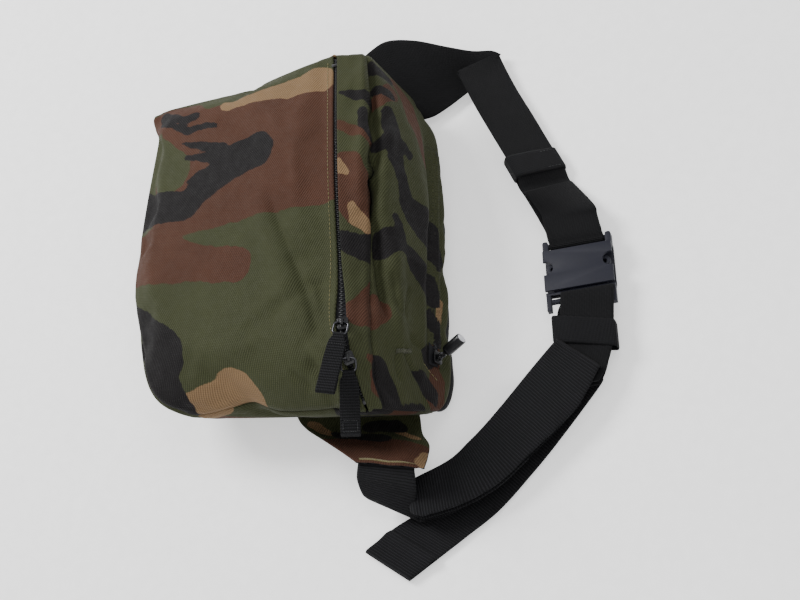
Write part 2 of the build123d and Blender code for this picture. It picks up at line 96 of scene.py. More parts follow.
# ---- materials ------------------------------------------------------------------------------
class Shader:
    """A material, with short calls that add nodes to it."""

    def __init__(self, name, roughness, **uniform):
        self.material = bpy.data.materials.new(name)
        self.material.use_nodes = True
        self.tree = self.material.node_tree
        self.surface = self.tree.nodes["Principled BSDF"]
        self.surface.inputs["Roughness"].default_value = roughness
        for socket, value in uniform.items():
            self.surface.inputs[socket.replace("_", " ")].default_value = value

    def put(self, kind, *values, **settings):
        made = self.tree.nodes.new("ShaderNode" + kind)
        for key, value in settings.items():
            setattr(made, key, value)
        for socket, value in zip(made.inputs, values):
            self.feed(socket, value)
        return made

    def feed(self, socket, value):
        if isinstance(value, bpy.types.NodeSocket):
            self.tree.links.new(value, socket)
        elif value is not None:
            socket.default_value = value

    def math(self, operation, *values):
        return self.put("Math", *values, operation=operation).outputs[0]

    def ramp(self, value, low, high, to_low=0.0, to_high=1.0):
        return self.put("MapRange", value, low, high, to_low, to_high).outputs[0]

    def mix(self, share, first, second, blend="MIX"):
        made = self.put("Mix", share, data_type="RGBA", blend_type=blend)
        self.feed(made.inputs[6], first)
        self.feed(made.inputs[7], second)
        return made.outputs[2]

    def stored(self, name):
        return self.put("Attribute", attribute_name=name).outputs["Fac"]

    def flat(self):
        """The piece's flat fabric coordinates, in millimetres."""
        return self.put("CombineXYZ", self.stored("u"), self.stored("v"), 0.0).outputs[0]

    def place(self):
        """The place in the object's own space, in millimetres."""
        source = self.put("TexCoord").outputs["Object"]
        return self.put("VectorMath", source, (1000.0,) * 3, operation="MULTIPLY").outputs[0]

    def noise(self, where, size, detail=2.0, roughness=0.5):
        """Noise about 0 to 1, with features of that size in millimetres."""
        return self.put("TexNoise", where, None, 1.0 / size, detail, roughness).outputs["Fac"]

    def wave(self, value, pitch):
        """Sine of a length, from -1 to 1."""
        return self.math("SINE", self.math("MULTIPLY", value, 2 * math.pi / pitch))

    def finish(self, color=None, roughness=None, height=None, depth=0.1):
        """Wires the colour, roughness and relief in; depth is the relief's scale in millimetres."""
        self.feed(self.surface.inputs["Base Color"], color)
        self.feed(self.surface.inputs["Roughness"], roughness)
        if height is not None:
            bump = self.put("Bump")
            bump.inputs["Strength"].default_value = 1.0
            bump.inputs["Distance"].default_value = depth * MM
            self.feed(bump.inputs["Height"], height)
            self.tree.links.new(bump.outputs[0], self.surface.inputs["Normal"])
        return self.material


def rgb(red, green, blue):
    """Linear colour of an sRGB triple from 0 to 255."""
    def linear(value):
        value /= 255.0
        return value / 12.92 if value <= 0.04045 else ((value + 0.055) / 1.055) ** 2.4
    return (linear(red), linear(green), linear(blue), 1.0)


def scaled(color, share):
    return tuple(c * share for c in color[:3]) + (1.0,)


GREEN, BROWN, TAN, BLACK = rgb(50, 53, 33), rgb(64, 40, 29), rgb(110, 88, 63), rgb(20, 18, 19)
LAYERS = (("brown", BROWN), ("tan", TAN), ("black", BLACK))
DUST, LINT = (0.16, 0.155, 0.13, 1.0), (0.12, 0.12, 0.13, 1.0)
BARE_METAL = (0.42, 0.42, 0.44, 1.0)
TWILL_PITCH, TWILL_SLOPE, THREAD_PITCH, THREAD_SLOPE = 1.75, 0.62, 1.2, 0.3
EDGE_WANDER, EDGE_FUZZ, EDGE_WIDTH = 2.4, 0.5, 0.35  # of the printed patches, in millimetres


def camo_material(name):
    """Printed woodland twill: painted distance fields give the patches their crisp edges."""
    s = Shader(name, 0.8, Sheen_Weight=0.012, Sheen_Roughness=0.4, Specular_IOR_Level=0.15)
    flat = s.flat()
    u, v = s.stored("u"), s.stored("v")
    wobble = s.ramp(s.noise(flat, 10.0, 3.0), 0.0, 1.0, -EDGE_WANDER, EDGE_WANDER)
    fuzz = s.ramp(s.noise(flat, 1.3, 2.0), 0.0, 1.0, -EDGE_FUZZ, EDGE_FUZZ)
    color = GREEN
    for layer, paint in LAYERS:
        distance = s.math("ADD", s.math("ADD", s.stored(layer), wobble), fuzz)
        color = s.mix(s.ramp(distance, EDGE_WIDTH, -EDGE_WIDTH), color, paint)
    # Twill: steep diagonal lines, broken into single threads by a finer cross wave.
    diagonal = s.wave(s.math("ADD", v, s.math("MULTIPLY", u, TWILL_SLOPE)), TWILL_PITCH)
    threads = s.wave(s.math("SUBTRACT", u, s.math("MULTIPLY", v, THREAD_SLOPE)), THREAD_PITCH)
    weave = s.math("ADD", s.math("MULTIPLY", diagonal, 0.7), s.math("MULTIPLY", threads, 0.3))
    shade = s.ramp(weave, -1.0, 1.0, 0.66, 1.38)
    worn = s.ramp(s.noise(flat, 40.0, 4.0, 0.6), 0.25, 0.75, 0.88, 1.12)
    color = s.mix(1.0, color, s.math("MULTIPLY", shade, worn), "MULTIPLY")
    dust = s.ramp(s.noise(flat, 0.7, 1.0), 0.62, 0.8, 0.0, 0.16)
    color = s.mix(dust, color, DUST)
    rough = s.ramp(s.noise(flat, 6.0), 0.2, 0.8, 0.68, 0.86)
    return s.finish(color, rough, weave, 0.16)


def woven_material(name, base, rib, across, depth=0.25, light=1.7, dark=0.65):
    """Webbing or tape: ribs of one pitch along the band, finer threads across them."""
    s = Shader(name, 0.85, Sheen_Weight=0.015, Sheen_Roughness=0.4, Specular_IOR_Level=0.18)
    flat = s.flat()
    u, v = s.stored("u"), s.stored("v")
    sway = s.ramp(s.noise(flat, 9.0), 0.0, 1.0, -0.25, 0.25)
    ribs = s.wave(s.math("ADD", u, sway), rib)
    threads = s.wave(v, across)
    weave = s.math("ADD", s.math("MULTIPLY", ribs, 0.75), s.math("MULTIPLY", threads, 0.25))
    shade = s.ramp(weave, -1.0, 1.0, dark, light)
    patch = s.ramp(s.noise(flat, 25.0, 3.0), 0.25, 0.75, 0.85, 1.15)
    color = s.mix(1.0, base, s.math("MULTIPLY", shade, patch), "MULTIPLY")
    lint = s.ramp(s.noise(flat, 0.6, 1.0), 0.68, 0.85, 0.0, 0.1)
    color = s.mix(lint, color, LINT)
    return s.finish(color, None, weave, depth)


def grained_material(name, base, roughness, grain=0.35, depth=0.03, wear=0.0, **uniform):
    """Moulded plastic or lacquered metal, with a fine grain and slightly uneven gloss."""
    s = Shader(name, roughness, **uniform)
    where = s.place()
    fine = s.noise(where, grain, 2.0)
    broad = s.noise(where, 7.0, 3.0)
    color = s.mix(s.ramp(broad, 0.3, 0.7, 0.0, 0.25), base, scaled(base, 1.3))
    if wear:
        edge = s.put("NewGeometry").outputs["Pointiness"]
        rubbed = s.math("MULTIPLY", s.ramp(edge, 0.52, 0.6), s.ramp(s.noise(where, 1.2), 0.35, 0.6))
        color = s.mix(s.math("MULTIPLY", rubbed, wear), color, BARE_METAL)
    rough = s.ramp(s.math("ADD", fine, broad), 0.6, 1.4, roughness * 0.85, roughness * 1.15)
    return s.finish(color, rough, fine, depth)


def thread_material(name, base):
    """Twisted sewing thread."""
    s = Shader(name, 0.7, Sheen_Weight=0.2)
    where = s.place()
    twist = s.put("TexWave", where, 1.6, 3.0, wave_type="BANDS",
                  bands_direction="DIAGONAL").outputs[1]
    color = s.mix(s.ramp(twist, 0.0, 1.0, 0.0, 0.5), base, scaled(base, 0.5))
    return s.finish(color, None, twist, 0.08)


NEAR_BLACK, SOFT_BLACK = (0.0036, 0.0036, 0.0042, 1.0), (0.012, 0.012, 0.014, 1.0)
CAMO = camo_material("camo_twill")
LINING = woven_material("black_lining", (0.012, 0.012, 0.013, 1.0), 0.7, 0.7, depth=0.08, light=1.3)
WEBBING = woven_material("ribbed_webbing", NEAR_BLACK, 1.9, 0.95, depth=0.3, light=3.2, dark=0.4)
LENGTHWISE = woven_material("webbing_lengthwise", NEAR_BLACK, 0.9, 1.7, depth=0.22, light=2.0)
TAB_WEBBING = woven_material("tab_webbing", NEAR_BLACK, 1.9, 1.1, depth=0.5, light=3.4, dark=0.4)
ELASTIC = woven_material("elastic", (0.004, 0.004, 0.0048, 1.0), 0.9, 1.5, depth=0.15)
ZIP_TAPE = woven_material("zip_tape_weave", SOFT_BLACK, 0.9, 0.6, depth=0.1)
COIL = grained_material("zip_coil_nylon", SOFT_BLACK, 0.45)
HARDWARE = grained_material("black_lacquer", (0.005, 0.005, 0.006, 1.0), 0.28, wear=0.12,
                            Metallic=0.4)
WIRE = grained_material("dark_wire", (0.05, 0.05, 0.055, 1.0), 0.16, Metallic=0.9)
BUCKLE = grained_material("matte_acetal", (0.0085, 0.009, 0.0165, 1.0), 0.55, 0.5, 0.05,
                          Specular_IOR_Level=0.25)
BARREL = grained_material("gloss_black", (0.003, 0.003, 0.004, 1.0), 0.3, Specular_IOR_Level=0.35)
CAP = grained_material("pale_cap", (0.62, 0.62, 0.66, 1.0), 0.35)
FLOOR = grained_material("pale_floor", (0.76, 0.76, 0.76, 1.0), 0.9, 1.5, 0.01,
                         Specular_IOR_Level=0.1, Emission_Color=(1.0, 1.0, 1.0, 1.0),
                         Emission_Strength=0.65)
OLIVE_THREAD = thread_material("olive_thread", rgb(112, 104, 56))
TACK_THREAD = thread_material("dark_olive_thread", rgb(58, 60, 38))
DARK_THREAD = thread_material("black_thread", (0.009, 0.009, 0.01, 1.0))


# ---- mesh helpers ---------------------------------------------------------------------------
ARC = (0, 0.25, 0.5, 0.75, 1)  # shares along one stitch


def run_along(points):
    """Distance of each point from the first one, along the line through them all."""
    return np.concatenate([[0], np.cumsum(np.linalg.norm(np.diff(points, axis=0), axis=1))])


def unit(vectors):
    vectors = np.asarray(vectors, float)
    return vectors / np.maximum(np.linalg.norm(vectors, axis=-1, keepdims=True), 1e-9)


def smooth_through(points, count):
    """Points spaced evenly along a smooth curve through the given rows of numbers."""
    p = np.asarray(points, float)
    p = np.vstack([2 * p[0] - p[1], p, 2 * p[-1] - p[-2]])
    dense = []
    for k in range(1, len(p) - 2):
        a, b, c, d = p[k - 1:k + 3]
        for t in np.linspace(0, 1, 24, endpoint=False):
            dense.append(0.5 * (2 * b + (c - a) * t + (2 * a - 5 * b + 4 * c - d) * t * t
                                + (3 * b - a - 3 * c + d) * t ** 3))
    dense = np.array(dense + [p[-2]])
    run = run_along(dense)
    at = np.linspace(0, run[-1], count)
    return np.stack([np.interp(at, run, dense[:, k]) for k in range(p.shape[1])], axis=1)


def store(mesh, name, values):
    """Keeps one number per point on the mesh, for the materials."""
    data = mesh.attributes.new(name, "FLOAT", "POINT").data
    data.foreach_set("value", np.asarray(values, np.float32))


def new_object(name, points, faces, material, **stored):
    """Smooth mesh object from millimetre points, with per-point numbers stored on it."""
    mesh = bpy.data.meshes.new(name)
    mesh.from_pydata([tuple(p * MM for p in point) for point in points], [], faces)
    mesh.update()
    for key, values in stored.items():
        store(mesh, key, values)
    mesh.materials.append(material)
    mesh.polygons.foreach_set("use_smooth", [True] * len(mesh.polygons))
    obj = bpy.data.objects.new(name, mesh)
    bpy.context.collection.objects.link(obj)
    return obj


def vectors_of(mesh, name):
    """One vector of that name for each of the mesh's points."""
    flat = np.empty(len(mesh.vertices) * 3)
    mesh.vertices.foreach_get(name, flat)
    return flat.reshape(-1, 3)


def coordinates(obj):
    """The mesh's points in millimetres, as an array."""
    return vectors_of(obj.data, "co") / MM


def edit_mesh(mesh, *steps):
    work = bmesh.new()
    work.from_mesh(mesh)
    for step in steps:
        step(work)
    work.to_mesh(mesh)
    work.free()


def face_outwards(work):
    bmesh.ops.recalc_face_normals(work, faces=work.faces)


def weld(work):
    bmesh.ops.remove_doubles(work, verts=work.verts, dist=1e-6)


def drop_flat_edges(work):
    bmesh.ops.dissolve_limit(work, angle_limit=0.02, verts=work.verts, edges=work.edges)


def tube_faces(rings, around, closed=False):
    """Faces between rings of points, each ring closed; closed joins the last ring to the first."""
    faces = []
    for k in range(rings - (0 if closed else 1)):
        n = (k + 1) % rings
        for m in range(around):
            o = (m + 1) % around
            faces.append((k * around + m, k * around + o, n * around + o, n * around + m))
    return faces


def end_faces(count, sides):
    return [tuple(range(sides))[::-1], tuple(count - sides + m for m in range(sides))]


def tree_of(points):
    """Search tree over the points, numbered in their order."""
    tree = KDTree(len(points))
    for k, point in enumerate(points):
        tree.insert(Vector(point), k)
    tree.balance()
    return tree


def apply_modifiers(obj):
    graph = bpy.context.evaluated_depsgraph_get()
    mesh = bpy.data.meshes.new_from_object(obj.evaluated_get(graph))
    obj.modifiers.clear()
    old, obj.data = obj.data, mesh
    bpy.data.meshes.remove(old)


def install(obj, body, slot, *nodes):
    """The piece stands for its CAD nodes and moves with their body; slot is not used."""
    if nodes:
        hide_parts(*nodes)
    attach(obj, body)


# ---- the pack's shell -----------------------------------------------------------------------
# Wall section as (Y, Z) corners, from the back panel's front edge round to its rear edge, at
# five places along the pack: far end, far shoulder, hip, near shoulder, near end.
CORNER_PATHS = {
    "back_front": ((-80, 0), (-86, 0), (-83, 0), (-80, 0), (-58, 0)),
    "front_low": ((-131, 60), (-135, 60), (-130.5, 60), (-114, 55), (-88, 44)),
    "zip": ((26, 80), (30, 90), (38, 91.5), (42, 92), (52, 73)),
    "crease": ((49, 77), (56, 85), (56, 84), (57, 83), (62, 66)),
    "rear_low": ((70, 13), (77, 14), (90, 13), (91, 13), (84, 13)),
    "back_rear": ((67, 0), (74, 0), (86, 0), (87, 0), (80, 0)),
}
STATION_AT = (0.0, 0.09, 0.7, 0.87, 1.0)
FRONT_LENGTH, TOP_LENGTH = 155.0, 26.0  # of the front panel and of the strip behind the zip
LONG_STEPS = 62
WALLS = (("bottom", "back_front", "front_low", 20), ("front", "front_low", "zip", 42),
         ("gap", "zip", "zip", 2), ("strip", "zip", "crease", 8),
         ("rear", "crease", "rear_low", 20), ("piping", "rear_low", "back_rear", 4),
         ("back", "back_rear", "back_front", 36))
BOTTOM, FRONT, GAP, STRIP, REAR, PIPING, BACK, FAR_END, NEAR_END = range(9)
CAP_RINGS = 9


def eased(values, t):
    """Smooth value at t through five values that stand at the stations."""
    at, values = np.array(STATION_AT), np.asarray(values, float)
    slopes = np.gradient(values, at, axis=0)
    k = int(min(max(np.searchsorted(at, t, side="right") - 1, 0), 3))
    h = at[k + 1] - at[k]
    s = (t - at[k]) / h
    return ((2 * s ** 3 - 3 * s ** 2 + 1) * values[k] + (s ** 3 - 2 * s ** 2 + s) * h * slopes[k]
            + (3 * s ** 2 - 2 * s ** 3) * values[k + 1] + (s ** 3 - s ** 2) * h * slopes[k + 1])


def zip_gap(t):
    """Half the gap between the two fabric edges of the main zip: open near the sliders."""
    return 1.0 + 4.2 * math.exp(-((t - 0.81) / 0.11) ** 2)


def shell_section(t):
    """One closed ring of the shell: points, wall numbers and flat coordinates across the wall."""
    corners = {key: eased(path, t) for key, path in CORNER_PATHS.items()}
    zip_at, low, gap = corners["zip"], corners["front_low"], zip_gap(t)
    before = zip_at + (low - zip_at) * gap / FRONT_LENGTH
    after = zip_at + (corners["crease"] - zip_at) * gap / TOP_LENGTH
    front = -gap - float(np.linalg.norm(before - low))
    spans = {"front": (low, before), "gap": (before, after), "strip": (after, corners["crease"])}
    across = {"bottom": front - float(np.linalg.norm(low - corners["back_front"])),
              "front": front, "gap": -gap, "strip": gap, "rear": TOP_LENGTH, "piping": 97.0,
              "back": 110.0}
    ring = []
    for wall, (name, first, second, steps) in enumerate(WALLS):
        a, b = spans.get(name, (corners[first], corners[second]))
        length, start = float(np.linalg.norm(b - a)), across[name]
        for step in range(steps):
            y, z = a + (b - a) * step / steps
            dip = 9.0 * math.exp(-((y + 45.0) / 17.0) ** 2) + 0.06 * max(0.0, 45.0 - z)
            far_x, near_x = -124.5 - 0.17 * z, 112.0 + 0.1245 * y + 0.396 * z - dip
            x = float(eased((far_x, -100.0, 60.0, min(106.0, near_x - 8.0), near_x), t))
            ring.append(((x, y, z), wall, start + length * step / steps))
    return ring


def build_shell():
    """Closed mesh of the pack: its points and faces, each face's wall, each point's v."""
    rings = [shell_section(t) for t in np.linspace(0, 1, LONG_STEPS + 1)]
    around = len(rings[0])
    points = [entry[0] for ring in rings for entry in ring]
    v = [entry[2] for ring in rings for entry in ring]
    faces = tube_faces(len(rings), around)
    face_wall = [entry[1] for entry in rings[0]] * LONG_STEPS
    for end, wall in ((0, FAR_END), (LONG_STEPS, NEAR_END)):
        rim = [end * around + m for m in range(around)]
        middle = np.mean([points[r] for r in rim], axis=0)
        previous = rim
        for ring in range(1, CAP_RINGS + 1):
            share = ring / (CAP_RINGS + 1)
            current = []
            for r in rim:
                points.append(tuple(np.array(points[r]) * (1 - share) + middle * share))
                v.append(points[-1][2])
                current.append(len(points) - 1)
            add_band(faces, face_wall, previous, current, wall, end == 0)
            previous = current
        points.append(tuple(middle))
        v.append(middle[2])
        add_band(faces, face_wall, previous, [len(points) - 1] * around, wall, end == 0)
    return np.array(points), faces, np.array(face_wall), np.array(v), around


def add_band(faces, face_wall, outer, inner, wall, flip):
    for m in range(len(outer)):
        n = (m + 1) % len(outer)
        face = list(dict.fromkeys((outer[m], outer[n], inner[n], inner[m])))
        faces.append(tuple(face[::-1] if flip else face))
        face_wall.append(wall)


def soften(points, faces, hold, rounds):
    """Laplacian smoothing; hold is 0 where a point moves freely and 1 where it stays."""
    edges = {tuple(sorted((f[k - 1], f[k]))) for f in faces for k in range(len(f))}
    pairs = np.array(sorted(edges))
    count = np.bincount(pairs.ravel(), minlength=len(points))[:, None]
    for _ in range(rounds):
        total = np.zeros_like(points)
        np.add.at(total, pairs[:, 0], points[pairs[:, 1]])
        np.add.at(total, pairs[:, 1], points[pairs[:, 0]])
        points = points + (total / count - points) * 0.5 * (1 - hold[:, None])
    return points


shell_points, shell_faces, face_wall, shell_v, AROUND = build_shell()
shell_u = shell_points[:, 0].copy()
number_of = np.arange(len(shell_points))
ring_of, column = np.minimum(number_of // AROUND, LONG_STEPS), number_of % AROUND
on_body = number_of < AROUND * (LONG_STEPS + 1)
raised = on_body & (shell_points[:, 2] > 20)
corner_at = np.cumsum([0] + [wall[3] for wall in WALLS])
hold = np.zeros(len(shell_points))
# What keeps its place while the rest is smoothed: the zip's edges, the crease, both ends' rims.
for held, strength in ((on_body & (np.abs(column - corner_at[2]) < 3), 0.97),
                       (on_body & (np.abs(column - corner_at[3]) < 3), 0.97),
                       (on_body & (np.abs(column - corner_at[4]) < 1), 0.6),
                       (raised & (ring_of < 2), 0.8),
                       (raised & (ring_of > LONG_STEPS - 2), 0.55)):
    hold[held] = np.maximum(hold[held], strength)
hold[shell_points[:, 2] < 0.5] = 0.5
shell_points = soften(shell_points, shell_faces, hold, rounds=14)

shell = new_object("shell", shell_points, shell_faces, CAMO)
edit_mesh(shell.data, face_outwards)


# ---- soft shape: cloth simulation, then the folds the fabric shows --------------------------
def inflate(obj, pins, pressure, frames, cap):
    """Cloth simulation under inner pressure; no point moves further than cap millimetres."""
    start = coordinates(obj)
    group = obj.vertex_groups.new(name="pins")
    for weight in sorted(set(np.round(pins, 1))):
        if weight > 0:
            members = [int(k) for k in np.flatnonzero(np.round(pins, 1) == weight)]
            group.add(members, float(weight), "REPLACE")
    cloth = obj.modifiers.new("cloth", "CLOTH")
    settings = cloth.settings
    settings.quality, settings.mass = 5, 0.25
    settings.tension_stiffness = settings.compression_stiffness = 12
    settings.shear_stiffness, settings.bending_stiffness = 6, 0.4
    settings.tension_damping = settings.compression_damping = 8
    settings.use_pressure, settings.uniform_pressure_force = True, pressure
    settings.shrink_min = -0.02
    settings.vertex_group_mass = "pins"
    settings.effector_weights.gravity = 0
    cloth.point_cache.frame_start, cloth.point_cache.frame_end = 1, frames
    scene = bpy.context.scene
    for number in range(1, frames + 1):
        scene.frame_set(number)
    graph = bpy.context.evaluated_depsgraph_get()
    moved = bpy.data.meshes.new_from_object(obj.evaluated_get(graph))
    shift = vectors_of(moved, "co") / MM - start
    bpy.data.meshes.remove(moved)
    obj.modifiers.clear()
    scene.frame_set(1)
    length = np.linalg.norm(shift, axis=1, keepdims=True)
    shift *= np.minimum(1.0, cap / np.maximum(length, 1e-6))
    return start + shift


pins = np.where(hold > 0.9, 0.9, 0.0)
pins[shell_points[:, 2] < 0.6] = 1.0
blown = inflate(shell, pins, pressure=3.0, frames=20, cap=7.0)
# The near end stays almost flat, because the wing draws it in.
flat_end = np.clip((shell_points[:, 0] - 92.0) / 14.0, 0, 1) * (shell_points[:, 2] < 78.0)
blown[:, 0] -= np.maximum(0.0, blown[:, 0] - shell_points[:, 0]) * 0.85 * flat_end
shell_points = blown

# Folds as (path of flat coordinates, half width, depth); a negative depth stands out.
FOLDS = (
    (((-126, 28), (-90, 28), (-50, 28), (-15, 26), (5, 25), (18, 29), (48, 33), (80, 40)),
     3.0, 8.5),
    (((-126, 20), (-90, 20), (-50, 19), (-15, 16), (5, 17)), 4.5, -3.0),
    (((-112, 37), (-60, 37), (0, 35), (40, 44)), 7.0, -3.0),
    (((20, 42), (60, 46), (100, 52)), 7.0, -3.5),
    (((30, 62), (70, 62), (105, 66)), 12.0, 3.0),
    (((-24, -52), (8, -42), (40, -30), (72, -22), (98, -20)), 3.0, 2.6),
    (((-20, -62), (12, -52), (45, -41), (80, -33)), 7.0, -2.2),
    (((52, -16), (75, -14), (100, -13)), 5.0, 3.5),
    (((108, -30), (124, -22), (134, -20)), 3.0, 2.4),
    (((112, -45), (126, -34)), 2.5, 1.6),
    (((20, -150), (45, -140), (70, -134)), 7.0, -1.4),
    (((-96, -95), (-80, -75), (-60, -62)), 5.0, 1.4),
    (((-104, -70), (-88, -50), (-72, -42)), 4.0, -1.3),
    (((-60, -40), (-20, -36), (10, -34)), 8.0, 1.0),
    (((76, 48), (60, 44), (44, 42)), 2.0, 2.4),
    (((78, 52), (62, 54), (48, 60)), 2.0, 2.2),
    (((92, 50), (108, 46), (120, 46)), 2.0, 2.4),
    (((92, 54), (106, 58), (116, 66)), 2.0, 2.2),
    (((86, 58), (90, 70), (92, 82)), 1.8, 1.8),
    (((-80, 60), (-40, 66), (0, 74)), 9.0, -2.0),
)


def foot_on(u, v, a, d):
    """Where flat points have their foot on the line from a by d, from 0 to 1, and how far off."""
    t = np.clip(((u - a[0]) * d[0] + (v - a[1]) * d[1]) / max(d @ d, 1e-9), 0, 1)
    return t, np.hypot(u - a[0] - t * d[0], v - a[1] - t * d[1])


def distance_to(path, u, v):
    """Distance of flat points from a path, and how far along it they are, from 0 to 1."""
    path = np.asarray(path, float)
    runs = run_along(path)
    best, along = np.full(len(u), 1e9), np.zeros(len(u))
    for k in range(len(path) - 1):
        t, away = foot_on(u, v, path[k], path[k + 1] - path[k])
        closer = away < best
        best = np.where(closer, away, best)
        along = np.where(closer, (runs[k] + t * (runs[k + 1] - runs[k])) / runs[-1], along)
    return best, along


def place_points(obj, points):
    obj.data.vertices.foreach_set("co", (points * MM).ravel())
    obj.data.update()


def stored_values(obj, name, kind=np.float32):
    attribute = obj.data.attributes[name]
    values = np.empty(len(attribute.data), kind)
    attribute.data.foreach_get("value", values)
    return values


place_points(shell, shell_points)
store(shell.data, "u", shell_u)
store(shell.data, "v", shell_v)
wall_data = shell.data.attributes.new("wall", "INT", "FACE").data
wall_data.foreach_set("value", face_wall.astype(np.int32))
finer = shell.modifiers.new("finer", "SUBSURF")
finer.levels = finer.render_levels = 1
apply_modifiers(shell)

fine_points, fine_normals = coordinates(shell), vectors_of(shell.data, "normal")
fine_u, fine_v = stored_values(shell, "u"), stored_values(shell, "v")
fine_wall = stored_values(shell, "wall", np.int32)
walls_at = [set() for _ in fine_points]
for polygon, wall in zip(shell.data.polygons, fine_wall):
    for k in polygon.vertices:
        walls_at[k].add(int(wall))
outer_walls = np.array([bool(found & {BOTTOM, FRONT, STRIP, REAR}) for found in walls_at])
push = np.zeros(len(fine_points))
for path, width, depth in FOLDS:
    away, along = distance_to(path, fine_u, fine_v)
    taper = np.clip(np.minimum(along, 1 - along) * 5, 0, 1)
    push -= depth * np.exp(-(away / width) ** 2) * np.sqrt(taper)
edge_guard = np.clip((np.abs(fine_v) - zip_gap(0)) / 4.0, 0.15, 1)
push *= edge_guard * outer_walls

# Seams: the cloth sinks along them and stands up a little on both sides.
seam = [k for k, found in enumerate(walls_at) if len(found) > 1 and GAP not in found]
seam_tree = tree_of(fine_points[seam])
to_seam = np.array([seam_tree.find(Vector(p))[2] for p in fine_points])
push += 0.5 * np.exp(-((to_seam - 4.5) / 2.2) ** 2) - 0.9 * np.exp(-(to_seam / 1.6) ** 2)
fine_points = fine_points + fine_normals * push[:, None]

# The pocket zip lies flat in the rear strip, where the CAD has it.
REAR_OUT = np.array((0.0, 71.0, 35.0)) / math.hypot(71.0, 35.0)
REAR_UP = np.array((0.0, -REAR_OUT[2], REAR_OUT[1]))
REAR_ZIP_X = (-74.0, 98.0)
REAR_ZIP_Y, REAR_ZIP_Z = 56 + (84 - 30.0) / (84 - 13) * (91 - 56), 30.0


def rear_point(x, along, height):
    """Point by the pocket zip: x along it, then up the rear strip, then out of the cloth."""
    return np.array((x, REAR_ZIP_Y, REAR_ZIP_Z)) + REAR_OUT * height + along * REAR_UP


from_zip = fine_points - rear_point(0.0, 0.0, 0.0)
height = from_zip @ REAR_OUT
beside = np.hypot(from_zip @ REAR_UP,
                  np.maximum(0, np.abs(fine_points[:, 0] - 12.0) - 86.0) / 2.5)
is_rear = np.array([REAR in found for found in walls_at])
flatten = np.clip(1.6 - beside / 9.0, 0, 1) * is_rear * (height > -20)
flatten = flatten * flatten * (3 - 2 * flatten)
fine_points = fine_points - REAR_OUT * ((height + 0.2) * flatten)[:, None]
fine_points[:, 2] = np.maximum(fine_points[:, 2], 0.0)
place_points(shell, fine_points)
fine_normals = vectors_of(shell.data, "normal")


# ---- panels: the shell cut along its seams --------------------------------------------------
BLEND, NO_PATCH = 2.5, 60.0


def strokes_distance(u, v, chains):
    """Distance from chains of (u, v, radius) circles, negative inside; near chains run together."""
    total = np.full(len(u), NO_PATCH)
    for chain in chains:
        chain = np.asarray(chain, float)
        if len(chain) == 1:
            chain = np.vstack([chain, chain + 0.01])
        for a, b in zip(chain, chain[1:]):
            t, away = foot_on(u, v, a, b[:2] - a[:2])
            away = away - (a[2] + t * (b[2] - a[2]))
            h = np.clip(0.5 + 0.5 * (total - away) / BLEND, 0, 1)
            total = total * (1 - h) + away * h - BLEND * h * (1 - h)
    return total


def wandering(rng, count, u_range, v_range, size):
    """Random chains for the cloth that no view gives."""
    chains = []
    for _ in range(count):
        u, v = rng.uniform(*u_range), rng.uniform(*v_range)
        turn = rng.uniform(0, 2 * math.pi)
        chain = []
        for _ in range(rng.integers(2, 6)):
            chain.append((u, v, size * rng.uniform(0.4, 1.0)))
            turn += rng.uniform(-0.9, 0.9)
            u, v = u + 1.9 * size * math.cos(turn), v + 1.3 * size * math.sin(turn)
        chains.append(chain)
    return chains


FRONT_PRINT = {
    "brown": [[(-44, -11, 42), (-47, -120, 42)], [(-79, -11, 37), (-78, -118, 33)],
              [(-1, -175, 21), (5, -143, 22), (14, -125, 16), (20, -106, 12.5), (25, -89, 12.5),
               (28, -77, 13)],
              [(-118, -150, 12), (-112, -120, 14)]],
    "leave_brown": [[(-100, -161, 12), (-64, -138, 20)]],
    "tan": [[(-109, -87, 5), (-108, -62, 5), (-107, -34, 9), (-112, -12, 13)],
            [(118, -92, 17), (122, -100, 16)], [(117, -133, 8), (119, -119, 11), (121, -98, 16)]],
    "black": [[(-58, -63, 16), (-55, -79, 15), (-42, -104, 12), (-30, -121, 12), (-36, -153, 14),
               (-47, -185, 20)], [(-69, -90, 5), (-78, -109, 3), (-85, -123, 2)],
              [(-63, -96, 5), (-69, -114, 3), (-71, -121, 2)], [(-49, -109, 7), (-49, -119, 2)],
              [(-122, -143, 5), (-107, -122, 4), (-109, -113, 4)],
              [(-114, -143, 3), (-109, -136, 3), (-96, -120, 3), (-96, -105, 3), (-93, -96, 2)],
              [(55, -174, 20), (80, -144, 22)], [(93, -152, 20), (108, -149, 18)]],
}
STRIP_PRINT = {
    "brown": [[(-64, 2, 4), (-58, 12, 4), (-50, 25, 4)],
              [(-29, 7, 11), (-13, 9, 17), (5, 16, 12), (17, 23, 7)],
              [(80, 14, 11), (72, 30, 18), (77, 33, 14)], [(111, 16, 3), (114, 31, 5)],
              [(120, 18, 4), (133, 12, 3)]],
    "tan": [[(-33, 2, 2), (-26, 3, 4), (-23, 7, 2)], [(2, 10, 3), (11, 13, 5), (17, 20, 5)]],
    "black": [[(-94, 4, 2), (-92, 14, 4), (-90, 24, 6)],
              [(-73, 20, 5), (-63, 22, 6), (-56, 25, 5)], [(27, 3, 7), (28, 15, 6), (29, 29, 8)],
              [(33, 6, 4), (37, 18, 4), (38, 32, 4)],
              [(118, 24, 6), (128, 22, 8), (141, 22, 10)]],
}
